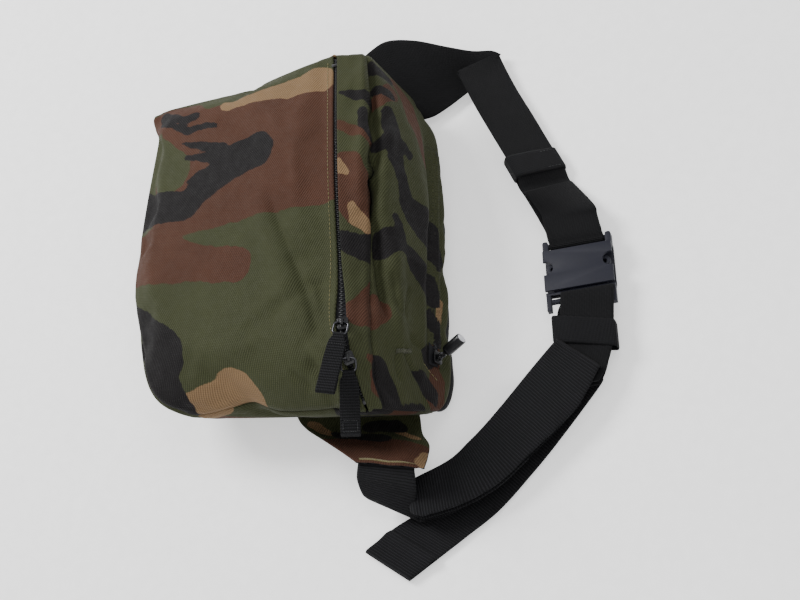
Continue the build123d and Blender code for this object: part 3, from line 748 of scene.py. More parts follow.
REAR_PRINT = {
    "brown": [[(-118, 55, 7), (-105, 64, 9), (-85, 66, 9), (-68, 72, 6), (-50, 78, 3)],
              [(-89, 31, 6), (-100, 43, 8)], [(85, 87, 4), (98, 85, 5), (107, 87, 6), (124, 78, 9)],
              [(80, 26, 11), (75, 30, 12)]],
    "tan": [[(47, 91, 4), (60, 90, 4)]],
    "black": [[(-99, 33, 5), (-95, 42, 4)], [(-121, 30, 6), (-116, 44, 6)],
              [(-78, 39, 6), (-65, 40, 7), (-49, 42, 8), (-37, 43, 7), (-27, 48, 5), (-17, 51, 5),
               (-7, 55, 8), (-3, 62, 11), (0, 74, 13), (7, 83, 10)],
              [(-54, 48, 4), (-48, 55, 4)], [(-48, 31, 6), (-50, 36, 6)],
              [(6, 43, 3), (12, 46, 4), (20, 48, 8), (24, 38, 9), (29, 35, 8)],
              [(21, 55, 7), (29, 65, 9), (37, 78, 9), (46, 82, 8), (49, 85, 6)],
              [(0, 82, 13), (15, 89, 10)], [(61, 81, 4), (70, 83, 4)],
              [(68, 89, 4), (79, 89, 5)], [(94, 79, 8), (89, 81, 6)],
              [(112, 62, 3), (115, 71, 8), (118, 75, 7)], [(138, 48, 5), (132, 63, 4)],
              [(116, 30, 8), (128, 30, 11), (141, 33, 11)]],
    "leave_black": [[(7, 49, 1), (17, 56, 3), (21, 69, 3), (24, 80, 5), (28, 88, 4)]],
}
NEAR_END_PRINT = {
    "brown": [[(-70, 30, 12), (-30, 22, 12)], [(62, 52, 8), (74, 40, 8)]],
    "tan": [[(-78, 44, 9), (-62, 50, 8)]],
    "black": [[(-100, 50, 14), (-84, 58, 12)], [(-10, 40, 9), (20, 34, 11), (44, 40, 8)],
              [(34, 66, 10), (56, 62, 9)]],
}


def print_on(obj, chains):
    """Stores the distance fields of the printed patches on the piece's points."""
    u, v = stored_values(obj, "u"), stored_values(obj, "v")
    for layer, _ in LAYERS:
        field = strokes_distance(u, v, chains.get(layer, ()))
        if "leave_" + layer in chains:
            field = np.maximum(field, -strokes_distance(u, v, chains["leave_" + layer]))
        store(obj.data, layer, field)


def random_print(seed, u_range, v_range):
    rng = np.random.default_rng(seed)
    return {"brown": wandering(rng, 5, u_range, v_range, 15.0),
            "tan": wandering(rng, 3, u_range, v_range, 8.0),
            "black": wandering(rng, 6, u_range, v_range, 9.0)}


CLOTH_THICKNESS = 1.5


class Fabric:
    """One wall of the shell, looked up by its flat coordinates."""

    def __init__(self, wall):
        faces = [tuple(p.vertices) for p, w in zip(shell.data.polygons, fine_wall) if w == wall]
        used = sorted({k for face in faces for k in face})
        place = {k: n for n, k in enumerate(used)}
        self.faces = [tuple(place[k] for k in face) for face in faces]
        self.points, self.normals = fine_points[used], fine_normals[used]
        self.u, self.v = fine_u[used], fine_v[used]
        if wall in (FAR_END, NEAR_END):
            self.u, self.v = self.points[:, 1], self.points[:, 2]
        self.flat = [Vector((float(a), float(b), 0.0)) for a, b in zip(self.u, self.v)]
        self.tree = None

    def at(self, u, v, lift=0.0):
        """The point in space over a flat place, raised along the wall's normal."""
        if self.tree is None:
            self.tree = BVHTree.FromPolygons(self.flat, self.faces)
        spot, _, index, _ = self.tree.find_nearest(Vector((u, v, 0.0)))
        face = self.faces[index]
        share = np.array(poly_3d_calc([self.flat[k] for k in face], spot))
        normal = share @ self.normals[list(face)]
        return share @ self.points[list(face)] + lift * normal / np.linalg.norm(normal)

    def piece(self, name, material, chains):
        """The wall as a closed piece of cloth, its thickness going inwards."""
        obj = new_object(name, self.points, self.faces, material, u=self.u, v=self.v)
        if chains:
            print_on(obj, chains)
        solid = obj.modifiers.new("thick", "SOLIDIFY")
        solid.thickness, solid.offset = CLOTH_THICKNESS * MM, -1.0
        apply_modifiers(obj)
        return obj


PANELS = (
    (FRONT, "front_panel", CAMO, FRONT_PRINT, "front_panel", "camo"),
    (BOTTOM, "bottom_gusset", CAMO, random_print(3, (-110, 110), (-240, -160)),
     "bottom_gusset", "camo"),
    (STRIP, "gusset_strip", CAMO, STRIP_PRINT, "top_gusset_front", "camo"),
    (REAR, "gusset_rear", CAMO, REAR_PRINT, "top_gusset_rear", "camo"),
    (PIPING, "bound_seam", LINING, None, "rear_piping", "lining"),
    (BACK, "back_panel", LINING, None, "back_panel", "lining"),
    (FAR_END, "end_panel_far", CAMO, random_print(8, (-130, 80), (0, 90)),
     "side_panel_far", "camo"),
    (NEAR_END, "end_panel_near", CAMO, NEAR_END_PRINT, "side_panel_near", "camo"),
)
walls = {panel[0]: Fabric(panel[0]) for panel in PANELS}
for number, name, material, chains, node, slot in PANELS:
    panel = walls[number].piece(name + "_cloth", material, chains)
    install(panel, "pack", slot, node)
bpy.data.objects.remove(shell)


# ---- ribbons, tubes and small parts ---------------------------------------------------------
BAND_END, TUBE_END = 0.55, 0.45  # share of the thickness left at an end


class Pieces:
    """Points and faces of many small shapes that make one object."""

    def __init__(self):
        self.points, self.faces, self.u, self.v = [], [], [], []

    def add(self, points, faces, u=None, v=None):
        base = len(self.points)
        self.points.extend(tuple(p) for p in points)
        self.faces.extend(tuple(base + k for k in face) for face in faces)
        self.u.extend(u if u is not None else [0.0] * len(points))
        self.v.extend(v if v is not None else [0.0] * len(points))

    def tube(self, path, radius, sides, closed=False):
        """Round rod along a path; its ends are drawn in."""
        path = np.asarray(path, float)
        if closed:
            runs = unit(np.roll(path, -1, 0) - np.roll(path, 1, 0))
        else:
            runs = unit(np.gradient(path, axis=0))
        side = np.cross(runs[0], (0.31, 0.2, 0.93))
        points, u, v = [], [], []
        length = run_along(path)
        for k, (spot, run) in enumerate(zip(path, runs)):
            side = unit(side - run * (side @ run))
            up = np.cross(side, run)
            size = radius * (TUBE_END if not closed and k in (0, len(path) - 1) else 1.0)
            for m in range(sides):
                a = 2 * math.pi * m / sides
                points.append(spot + size * (math.cos(a) * side + math.sin(a) * up))
                u.append(length[k])
                v.append(size * a)
        faces = tube_faces(len(path), sides, closed)
        if not closed:
            faces += end_faces(len(points), sides)
        self.add(points, faces, u, v)

    def make(self, name, material):
        obj = new_object(name, self.points, self.faces, material, u=self.u, v=self.v)
        edit_mesh(obj.data, face_outwards)
        return obj


def spread(count):
    """Places across a band from -1 to 1, closer together towards its edges."""
    return np.array([math.sin(math.pi / 2 * s) for s in np.linspace(-1, 1, count)])


ACROSS, FINE_ACROSS = spread(17), spread(61)


def band(name, rows, thick, material, count=None, relief=None, across=ACROSS, saw=0.0, into=None):
    """Closed strip whose middle surface runs through rows of (left, right) points."""
    rows = [tuple(a) + tuple(b) for a, b in rows]
    rough = np.asarray(rows)
    reach = np.linalg.norm(np.diff((rough[:, :3] + rough[:, 3:]) / 2, axis=0), axis=1).sum()
    count = count or max(8, int(reach / 1.6))
    rows = smooth_through(rows, count)
    left, right = rows[:, :3], rows[:, 3:]
    middle, half = (left + right) / 2, (right - left) / 2
    run = unit(np.gradient(middle, axis=0))
    normal = unit(np.cross(half, run))
    if normal[0][2] < 0:
        normal = -normal
    length = run_along(middle)
    edge = np.sqrt(np.maximum(0.0, 1 - np.abs(across) ** 30))
    columns = len(across)
    top, low, u, v = [], [], [], []
    for k in range(count):
        end = BAND_END if k in (0, count - 1) else 1.0
        for m, t in enumerate(across):
            spot = middle[k] + half[k] * t
            if k == count - 1:
                spot = spot + run[k] * saw * math.cos(t * 26.0)
            lift = relief(length[k] / length[-1], t) if relief else 0.0
            top.append(spot + normal[k] * (lift + thick / 2 * edge[m] * end))
            low.append(spot + normal[k] * (lift - thick / 2 * edge[m] * end))
            u.append(length[k])
            v.append(t * np.linalg.norm(half[k]))
    size = count * columns
    faces = []
    for k in range(count - 1):
        for m in range(columns - 1):
            a, b = k * columns + m, (k + 1) * columns + m
            faces.append((a, a + 1, b + 1, b))
            faces.append((size + a, size + b, size + b + 1, size + a + 1))
        for m in (0, columns - 1):
            a, b = k * columns + m, (k + 1) * columns + m
            faces.append((a, b, size + b, size + a) if m == 0 else (b, a, size + a, size + b))
    for k in (0, count - 1):
        for m in range(columns - 1):
            a = k * columns + m
            faces.append((a + 1, a, size + a, size + a + 1) if k == 0
                         else (a, a + 1, size + a + 1, size + a))
    target = into or Pieces()
    target.add(top + low, faces, u + u, v + v)
    if into is not None:
        return None
    obj = target.make(name, material)
    edit_mesh(obj.data, weld)
    obj["length"] = float(length[-1])
    return obj


BEVEL_FROM, SHARP_FROM, TURNED_SHARP_FROM = (math.radians(a) for a in (35, 38, 50))


def refined(node, material, slot, body, width=0.3, segments=2):
    """The CAD part's own shape, with its edges softly rounded."""
    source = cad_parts[node]
    mesh = source.data.copy()
    obj = bpy.data.objects.new(node + "_finished", mesh)
    bpy.context.collection.objects.link(obj)
    obj.matrix_world = source.matrix_world
    edit_mesh(mesh, weld, drop_flat_edges)
    mesh.materials.clear()
    mesh.materials.append(material)
    bevel = obj.modifiers.new("edges", "BEVEL")
    bevel.width, bevel.segments, bevel.limit_method = width * MM, segments, "ANGLE"
    bevel.angle_limit = BEVEL_FROM
    apply_modifiers(obj)
    obj.data.polygons.foreach_set("use_smooth", [True] * len(obj.data.polygons))
    obj.data.set_sharp_from_angle(angle=SHARP_FROM)
    install(obj, body, slot, node)


# ---- main zip -------------------------------------------------------------------------------
def seam_line(first, second):
    """Points where two walls meet, in order along the pack."""
    found = [k for k, numbers in enumerate(walls_at) if {first, second} <= numbers]
    line = fine_points[found]
    return line[np.argsort(line[:, 0])]


front_edge, strip_edge = seam_line(FRONT, GAP), seam_line(GAP, STRIP)


def zip_edges(x):
    """The two fabric edges' points beside the zip at a place along it."""
    return [np.array([np.interp(x, edge[:, 0], edge[:, k]) for k in range(3)])
            for edge in (front_edge, strip_edge)]


def zip_place(x):
    """Centre of the main zip, direction along it, across it and out of the pack, half its gap."""
    (a, b), (c, d), (e, f) = zip_edges(x), zip_edges(x + 2.0), zip_edges(x - 2.0)
    run = unit(c + d - e - f)
    across = unit((b - a) - run * ((b - a) @ run))
    return (a + b) / 2, run, across, np.cross(run, across), np.linalg.norm(b - a) / 2


ZIP_ENDS = (front_edge[0, 0] + 2.0, front_edge[-1, 0] - 2.0)
zip_x = np.arange(ZIP_ENDS[0], ZIP_ENDS[1], 3.0)
for side, label, node in ((-1, "front", "main_zip_tape_front"), (1, "strip", "main_zip_tape_rear")):
    rows = []
    for x in zip_x:
        spot, run, across, out, gap = zip_place(x)
        rows.append((spot + across * side * 0.4 - out * 2.3,
                     spot + across * side * (gap + 3.2) - out * 3.6))
    tape = band("zip_tape_" + label, rows, 0.7, ZIP_TAPE)
    install(tape, "pack", "zip_tape", node)
COIL_PITCH, POCKET_COIL_PITCH = 1.45, 1.3
# One turn of the coil as (across, along, depth).
COIL_TURN = ((2.1, -0.5, 2.2), (1.2, -0.2, 1.75), (-0.2, 0.0, 1.65), (-0.9, 0.25, 1.9),
             (0.2, 0.5, 2.6))
coil = Pieces()
for k, x in enumerate(np.arange(ZIP_ENDS[0] + 3, ZIP_ENDS[1] - 3, COIL_PITCH)):
    spot, run, across, out, _ = zip_place(x)
    side = 1 if k % 2 else -1
    coil.tube([spot + across * side * w + run * r - out * d for w, r, d in COIL_TURN], 0.48, 6)
install(coil.make("zip_coil_bars", COIL), "pack", "zip_coil", "main_zip_coil")
refined("main_zip_stops", HARDWARE, "hardware", "pack", 0.25)

# ---- pocket zip -----------------------------------------------------------------------------
tape_rows = [(rear_point(x, -5.5, 0.35), rear_point(x, 5.5, 0.35))
             for x in np.linspace(*REAR_ZIP_X, 30)]
install(band("pocket_zip_tape", tape_rows, 0.6, ZIP_TAPE), "pack", "zip_tape", "rear_zip_tape")
coil = Pieces()
for k, x in enumerate(np.arange(REAR_ZIP_X[0] + 2, REAR_ZIP_X[1] - 1, POCKET_COIL_PITCH)):
    side = 1 if k % 2 else -1
    coil.tube([rear_point(x + r, side * w, h) for w, r, h in
               ((1.5, -0.4, 0.8), (0.9, -0.15, 1.35), (-0.3, 0.05, 1.4), (-0.8, 0.25, 1.0))],
              0.42, 6)
install(coil.make("pocket_coil_bars", COIL), "pack", "zip_coil", "rear_zip_coil")
rear_wall = walls[REAR]
rear_tree = tree_of(rear_wall.points)


def rear_welt(name, rows):
    """Strip of the same printed cloth, sewn beside the pocket zip."""
    welt = band(name, rows, 1.2, CAMO)
    nearest = [rear_tree.find(Vector(point))[1] for point in coordinates(welt)]
    for key, values in (("u", rear_wall.u[nearest]), ("v", rear_wall.v[nearest])):
        welt.data.attributes[key].data.foreach_set("value", values.astype(np.float32))
    print_on(welt, REAR_PRINT)
    install(welt, "pack", "camo")


FLAP_ENDS = (-77.0, 85.5)


def flap_share(x):
    """How far the flap stands out at a place: nothing at its ends."""
    from_end = min(x - FLAP_ENDS[0], FLAP_ENDS[1] - x)
    return min(1.0, max(0.0, from_end / 8.0 + 0.02)) ** 0.5


rear_welt("pocket_flap", [(rear_point(x, 4.0 - 7.6 * flap_share(x), 4.2 * flap_share(x) - 1.6),
                           rear_point(x, 10.0, 1.2 * flap_share(x) - 1.6))
                          for x in np.linspace(*FLAP_ENDS, 30)])
rear_welt("pocket_lip", [(rear_point(x, -3.2, 0.4), rear_point(x, -8.0, -0.4))
                         for x in np.linspace(-72, 98, 30)])
bag_rows = [((x, 63.0, 64.0), (x, 78.0, 20.0)) for x in np.linspace(-72, 88, 30)]
bag = band("pocket_bag", bag_rows, 1.2, LINING,
           relief=lambda s, t: 1.5 * math.sin(9 * s + 2 * t))
install(bag, "pack", "lining", "rear_pocket_bag")

# ---- sliders, loops and pulls ---------------------------------------------------------------
for node in ("main_slider_far", "main_slider_near", "rear_slider"):
    refined(node, HARDWARE, "hardware", node, 0.45, 3)


def turned_piece(name, base, axis, profile, material):
    """Round piece whose (radius, height) profile turns about an axis."""
    sides = 40
    first = unit(np.cross(axis, (0.2, 0.9, 0.1)))
    second = np.cross(axis, first)
    piece = Pieces()
    points = [base + axis * h + r * (math.cos(a) * first + math.sin(a) * second)
              for r, h in profile for a in np.linspace(0, 2 * math.pi, sides, endpoint=False)]
    piece.add(points, tube_faces(len(profile), sides) + end_faces(len(points), sides))
    obj = piece.make(name, material)
    obj.data.set_sharp_from_angle(angle=TURNED_SHARP_FROM)
    return obj

# The barrel leans towards the far end; its cap sits in a shallow rim.
LEAN = math.radians(20)
X_AXIS = np.array((1.0, 0, 0))
barrel_axis = REAR_OUT * math.cos(LEAN) - X_AXIS * math.sin(LEAN)
cap_centre = np.array([sum(pair) / 2 for pair in zip(*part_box("rear_barrel_cap"))]) / MM
foot = cap_centre - barrel_axis * 15.4
barrel = turned_piece("barrel_pull", foot, barrel_axis, (
    (1.6, -0.2), (2.6, 0.0), (3.4, 0.4), (3.85, 1.2), (4.0, 2.2), (3.93, 2.5), (3.93, 2.8),
    (4.0, 3.1), (4.0, 14.2), (3.9, 14.9), (3.6, 15.2), (3.3, 15.1), (3.2, 14.6), (1.0, 14.55)),
    BARREL)
eye = Pieces()
eye.tube([foot + barrel_axis * (-1.2 + 1.5 * math.sin(a)) + X_AXIS * 1.5 * math.cos(a)
          for a in np.linspace(0, 2 * math.pi, 24, endpoint=False)], 0.55, 8, True)
install(eye.make("barrel_eye", BARREL), "rear_barrel", "barrel")
install(barrel, "rear_barrel", "barrel", "rear_barrel_pull")
cap = turned_piece("barrel_cap_disc", foot, barrel_axis, (
    (3.15, 14.6), (3.2, 15.0), (3.05, 15.45), (2.4, 15.6), (0.6, 15.62)), CAP)
install(cap, "rear_barrel", "barrel_cap", "rear_barrel_cap")


ALONG_PULL = np.array((1, -0.3, 0))


def box_frame(node):
    """Centre and own axes of a flat CAD part, longest first; the first points along the zip."""
    points = coordinates(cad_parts[node])
    points = points @ np.array(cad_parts[node].matrix_world.to_3x3()).T
    centre = points.mean(axis=0)
    _, _, axes = np.linalg.svd(points - centre)
    if axes[0] @ ALONG_PULL < 0:
        axes[0] = -axes[0]
    if axes[2][2] < 0:
        axes[2] = -axes[2]
    axes[1] = np.cross(axes[2], axes[0])
    span = [(points - centre) @ axis for axis in axes]
    centre = centre + sum(axis * (s.max() + s.min()) / 2 for axis, s in zip(axes, span))
    return centre, axes, [float(s.max() - s.min()) for s in span]


def rounded_loop(centre, first, second, length, width, corner):
    """Points round a rounded rectangle."""
    points, count = [], 7
    for quarter, (a, b) in enumerate(((1, 1), (-1, 1), (-1, -1), (1, -1))):
        hub = centre + first * a * (length / 2 - corner) + second * b * (width / 2 - corner)
        for k in range(count):
            turn = math.pi / 2 * (quarter + k / (count - 1))
            points.append(hub + corner * (math.cos(turn) * first + math.sin(turn) * second))
    return points


for label in ("far", "near"):
    node = "main_slider_" + label + "_loop"
    centre, axes, span = box_frame(node)
    loop = Pieces()
    corners = rounded_loop(centre, axes[0], axes[1], span[0] - 1.3, span[1] - 1.3, 2.6)
    loop.tube(corners, 0.72, 10, True)
    install(loop.make(node + "_wire", WIRE), "main_loop_" + label, "wire", node)
refined("rear_slider_ring", WIRE, "wire", "rear_ring", 0.1)

# A pull tab is one length of webbing: up from the folded end, round the loop's bar and back
# down. Its rows as (distance from the start, height, share of the full width).
TAB_PATH = ((40.0, -1.4, 1.0), (37.0, -0.75, 1.0), (20.0, -0.7, 1.0), (7.0, -0.7, 0.9),
            (3.0, -0.85, 0.62), (1.2, -1.15, 0.58), (0.1, -0.75, 0.57), (-0.15, 0.0, 0.57),
            (0.1, 0.75, 0.57), (1.2, 1.15, 0.58), (3.0, 0.85, 0.62), (7.0, 0.7, 0.9),
            (20.0, 0.7, 1.0), (34.0, 0.7, 1.0), (40.0, 0.9, 1.0), (42.4, 0.5, 1.0),
            (42.9, -0.6, 1.0), (41.6, -1.6, 1.0), (38.0, -1.9, 1.0), (31.0, -1.95, 1.0))
# Lines of stitches on the tabs as (along, share of the half width), and their spacing.
TAB_SEAMS = {"far": (((9.0, -0.7), (9.0, 0.7)),),
             "near": (((33.0, -0.72), (40.0, -0.72)), ((40.0, -0.72), (40.0, 0.72)),
                      ((40.0, 0.72), (33.0, 0.72)), ((33.0, 0.72), (33.0, -0.72)))}
TAB_PITCH, TAB_STITCH, TAB_FLATTER = 1.5, 1.15, 0.82
for label in ("far", "near"):
    node = "main_slider_" + label + "_tab"
    centre, axes, span = box_frame(node)
    x, y, z = axes
    start, half = centre - x * span[0] / 2, span[1] / 2
    tab = Pieces()
    rows = []
    for along, height, share in TAB_PATH:
        spot = start + x * (along + 0.9 if along < 42 else along) + z * height * TAB_FLATTER
        rows.append((spot - y * half * share, spot + y * half * share))
    band("", rows, 1.05, None, into=tab, count=110)
    piece = tab.make(node + "_webbing", TAB_WEBBING)
    install(piece, "main_tab_" + label, "tab_webbing", node)
    stitches = Pieces()
    for (a, b), (c, d) in TAB_SEAMS[label]:
        length = math.hypot(c - a, (d - b) * half)
        for k in range(int(length / TAB_PITCH)):
            first, last = k * TAB_PITCH / length, (k * TAB_PITCH + TAB_STITCH) / length
            line = [start + x * (a + (c - a) * s) + y * half * (b + (d - b) * s)
                    + z * (1.32 + 0.1 * math.sin(math.pi * q))
                    for q, s in zip((0, 0.5, 1), (first, (first + last) / 2, last))]
            stitches.tube(line, 0.2, 5)
    install(stitches.make(node + "_stitches", DARK_THREAD), "main_tab_" + label, "thread")

# ---- waist wings ----------------------------------------------------------------------------
NEAR_WING = (((103, -26, 8), (114, 64, 8)), ((114, -22, 9), (125, 66, 9)),
             ((124, -14, 13), (138, 69, 14)), ((138, 2, 22), (150, 76, 22)),
             ((152, 18, 32), (163, 78, 32)), ((164, 31, 41), (174, 78, 40)))
FAR_WING = (((-123, -22, 9), (-123, 62, 9)), ((-146, 4, 20), (-133, 66, 12)),
            ((-166, 30, 30), (-139, 63, 13)))
NEAR_WING_PRINT = {
    "brown": [[(56, -34, 14), (54, 0, 16), (58, 22, 14)], [(72, -20, 14), (72, 14, 14)]],
    "tan": [[(20, -34, 6), (30, -30, 6)], [(74, 27, 8), (66, 31, 7)], [(28, 26, 4), (36, 32, 4)]],
    "black": [[(34, -22, 6), (34, -8, 7), (37, 8, 6)], [(22, 6, 6), (19, 26, 7)]],
}


def lowered(rows, drop):
    return [((a[0], a[1], a[2] - drop), (b[0], b[1], b[2] - drop)) for a, b in rows]


def wing_crease(s, t):
    fold = (1.6 * math.exp(-((t - 0.15 - 0.5 * s) / 0.2) ** 2)
            - 1.1 * math.exp(-((t + 0.25 - 0.4 * s) / 0.25) ** 2))
    return fold * math.sin(math.pi * min(1.0, s * 1.1)) + 0.3 * math.sin(7 * t + 5 * s)


for label, rows, steps, width, area, saw, chains in (
        ("near", NEAR_WING, 60, 0.09, 0.0042, 0.8, NEAR_WING_PRINT),
        ("far", FAR_WING, 50, 0.085, 0.0030, 0.0, random_print(12, (0, 60), (-40, 40)))):
    wing = band(label + "_wing_cloth", lowered(rows, 0.75), 1.4, CAMO, steps, wing_crease,
                FINE_ACROSS)
    print_on(wing, chains)
    install(wing, "pack", "camo", "wing_" + label)
    facing = band(label + "_wing_facing", lowered(rows, 2.0), 0.9, LINING, steps, wing_crease,
                  FINE_ACROSS, saw=saw)
    install(facing, "pack", "lining", "wing_" + label + "_facing")

# Dense zigzag of olive thread across each wing's tip.
WING_STITCHES = 110
for label, rows in (("near", NEAR_WING), ("far", FAR_WING)):
    stitches = Pieces()
    left, right = np.array(rows[-1][0], float), np.array(rows[-1][1], float)
    back = unit((np.array(rows[-2][0]) + np.array(rows[-2][1]) - left - right) / 2)
    out = unit(np.cross(right - left, back))
    out = out if out[2] > 0 else -out
    for k in range(WING_STITCHES):
        s = 0.09 + 0.82 * k / (WING_STITCHES - 1)
        base = left + (right - left) * s + back * 4.2
        lift = wing_crease(0.93, 2 * s - 1)
        line = [base + back * (-1.7 + 3.4 * q) + unit(right - left) * 0.15 * (-1) ** k
                + out * (lift + 0.2 * math.sin(math.pi * q)) for q in ARC]
        stitches.tube(line, 0.28, 5)
    install(stitches.make(label + "_wing_bar_stitch", OLIVE_THREAD), "pack", "thread")

# ---- webbing strap --------------------------------------------------------------------------
THICK, HALF_WIDTH = 1.5, 19.0


def level(z, *rows):
    """Rows given as (left x, left y, right x, right y), all at one height."""
    return [((a, b, z), (c, d, z)) for a, b, c, d in rows]


def half_turn(row, lead, up, radius):
    """Rows round half a circle: the band runs on along lead, then comes back that much higher."""
    left, right = np.array(row[0], float), np.array(row[1], float)
    lead, up = unit(lead), np.asarray(up, float)
    rows, steps = [], 7
    for k in range(1, steps):
        a = math.pi * k / steps
        shift = lead * radius * math.sin(a) + up * radius * (1 - math.cos(a))
        rows.append((tuple(left + shift), tuple(right + shift)))
    return rows


NEAR_ROOT = (
    ((153, 30, 27.5), (161, 70, 27.5)), ((161, 31.5, 34.6), (169, 70.5, 34.0)),
    ((165, 31.3, 35.6), (173, 70.3, 34.9)), ((170, 29.8, 33), (180, 69, 27.5)),
    ((173, 29, 30), (184, 66.5, 19.5)), ((178, 29.5, 25), (191, 64, 12.0)),
    ((181, 31, 20), (196, 63.5, 6.8)), ((180, 36, 11.5), (198, 68, 5.2)),
    ((172, 56, 4.2), (196, 72, 3.6)), ((166, 76, 3.2), (193, 87, 3.2)),
    *level(3.15, (151, 101, 178, 117), (126, 128, 150, 152), (100, 149, 126, 177)))
root = band("near_strap_under", NEAR_ROOT, THICK, WEBBING)
install(root, "pack", "webbing", "strap_near_root", "strap_near_under")

FOLD_Z, TAIL_Z = 15.65, 1.15
FOLD = level(FOLD_Z, (169, 67, 198, 72), (160, 88, 193, 96), (150, 101, 182, 120),
             (137, 115, 165, 141), (104, 145, 136, 174), (84, 163, 110, 191))


def drawn_in(row, lead, share, height):
    """The row moved on along lead, its two ends drawn together by a share of its width."""
    left, right = np.array(row[0], float), np.array(row[1], float)
    pull = (right - left) * share
    move = unit(lead) * np.linalg.norm(lead)
    left, right = left + pull + move, right - pull + move
    return (left[0], left[1], height), (right[0], right[1], height)


lower_leaf = lowered(FOLD[:4], 5.0)
# The rounded end of the fold as (movement along the strap, share drawn in, height).
turned = [drawn_in(FOLD[0], lead, share, height) for lead, share, height in (
    ((0.9, -3.2, 0), 0.03, 10.7), ((1.6, -6.6, 0), 0.10, 11.4), ((2.2, -8.9, 0), 0.2, 12.7),
    ((2.4, -9.6, 0), 0.24, 13.8), ((2.2, -8.9, 0), 0.2, 14.9), ((1.6, -6.6, 0), 0.10, 15.9),
    ((0.9, -3.2, 0), 0.03, 16.0))]
lip = half_turn(FOLD[-1], (-0.62, 0.6, 0), (0, 0, -1), 2.0)
tuck = [((85.5, 161.5, 11.65), (111.5, 189.5, 11.65)), ((92, 155.5, 11.4), (118.5, 183.5, 11.4))]
fold = band("near_strap_fold", lower_leaf[::-1] + turned + FOLD + lip + tuck, THICK, WEBBING,
            300, lambda s, t: 0.5 * math.sin(11 * s) * t + 0.35 * math.sin(23 * s + 2 * t))
install(fold, "pack", "webbing", "strap_fold", "strap_fold_return")

TAIL = level(TAIL_Z, (84, 163, 109, 191.5), (90, 158.5, 116, 188), (122, 133, 150, 160),
             (142, 116, 170, 142), (167, 92, 194, 118), (187, 66, 210, 95),
             (199, 44, 222, 77), (212, 26.5, 235, 57.5))
tip = half_turn(TAIL[-1], (0.62, -0.78, 0), (0, 0, 1), 0.85)
hem_rows = (level(3.0, (211, 27.8, 234, 58.8)) + level(2.9, (206, 35, 229, 66.5))
            + level(4.1, (203, 39.3, 226, 71.3)) + level(4.2, (201.5, 41.5, 224.5, 73.5))
            + level(3.0, (200, 43.7, 223, 75.7)))
tail = band("near_strap_tail", TAIL + tip + hem_rows, 1.4, WEBBING, 330)
install(tail, "pack", "webbing", "strap_tail", "tail_hem")

FAR_START, FAR_BEND = np.array((-158.0, 111.5, 15.0)), np.array((-34.0, 166.0, 14.0))
FAR_RUN = float(np.linalg.norm(FAR_BEND - FAR_START))
far_run = unit(FAR_BEND - FAR_START)
flat_across = unit(np.cross((0, 0, 1), far_run))
TILT = math.radians(-28.0)
far_out = np.cross(far_run, flat_across) * math.cos(TILT) - flat_across * math.sin(TILT)
far_across = np.cross(far_out, far_run)
BUCKLE_CENTRE, BUCKLE_TURN = np.array((29.5, 181.0, 9.5)), math.radians(1.5)
buckle_u = np.array((math.cos(BUCKLE_TURN), math.sin(BUCKLE_TURN), 0.0))
buckle_v = np.array((-math.sin(BUCKLE_TURN), math.cos(BUCKLE_TURN), 0.0))


def far_row(distance, drop):
    """Row of the far strap at a distance along its run and a drop below it."""
    spot = FAR_START + far_run * distance - far_out * (drop + THICK / 2)
    return tuple(spot + far_across * HALF_WIDTH), tuple(spot - far_across * HALF_WIDTH)


def buckle_spot(u, v, height):
    """Point by the buckle's centre: along the strap, across it and up."""
    return BUCKLE_CENTRE + buckle_u * u + buckle_v * v + np.array((0, 0, height))


def buckle_row(u, centre, height, half=HALF_WIDTH):
    """Row of a band across the buckle's own length."""
    return (tuple(buckle_spot(u, centre + half, height)),
            tuple(buckle_spot(u, centre - half, height)))


FAR_ROOT = (((-160, 24, 32), (-122, 54, 12)), ((-168, 38, 36.3), (-120, 60, 10)),
            ((-172, 52, 38.3), (-118, 66, 7.3)), ((-170, 72, 35), (-120, 77, 5.6)),
            ((-167, 92, 25.3), (-126, 88, 4.8)), ((-166, 110, 15), (-132, 96, 3.8)),
            ((-166, 124, 11), (-137, 103, 3.4)), ((-163, 131, 8.5), (-141, 108, 3.2)))
root = band("far_strap_root", FAR_ROOT, THICK, LENGTHWISE, 120,
            lambda s, t: 0.8 * math.sin(6 * s + 2 * t))
install(root, "pack", "webbing", "strap_far_root")
FOLD_SKEW = 9.0


def skewed(row, lead, tail, shift=(0, 0, 0)):
    """The row with its two ends moved along the strap by different amounts."""
    return (tuple(np.array(row[0]) + far_run * lead + shift),
            tuple(np.array(row[1]) + far_run * tail + shift))


# Rows as (distance along the run, drop below it), then round the housing's bar and back.
far_rows = [skewed(far_row(0, 0), -1.0, FOLD_SKEW, (0, 2.5, 0)),
            skewed(far_row(14, 0), 0, 4.0, (0, 1.2, 0))]
far_rows += [far_row(*place) for place in (
    (40, 0.3), (70, 0), (105, 0), (116, 0.4), (121, 1.8), (125, 3.3), (129, 3.0), (133, 1.0))]
far_rows += [buckle_row(-46, -4, 5.4), buckle_row(-38, -2.5, 4.6), buckle_row(-26, -0.8, 4.0)]
BAR_U, BAR_WRAP = -21.1, 2.75
far_rows += [buckle_row(BAR_U + BAR_WRAP * math.cos(a), 0, BAR_WRAP * math.sin(a))
             for a in np.linspace(1.7, -1.7, 9)]
far_rows += [buckle_row(-28, -1.5, -2.9), buckle_row(-38, -4, -2.6)]
far_rows += [far_row(FAR_RUN - back, drop)
             for back, drop in ((2, 4.4), (12, 5.3), (20, 4.0), (35, 3.6))]
DOUBLED = 3.2  # between the strap's two layers at the pack's end
under = skewed(far_row(12, DOUBLED), -1.0, FOLD_SKEW, (0, 2.5, 0))
first_low = [np.array(side) - far_out * DOUBLED for side in far_rows[0]]
far_rows = [under] + half_turn(first_low, -far_run, far_out, DOUBLED / 2) + far_rows
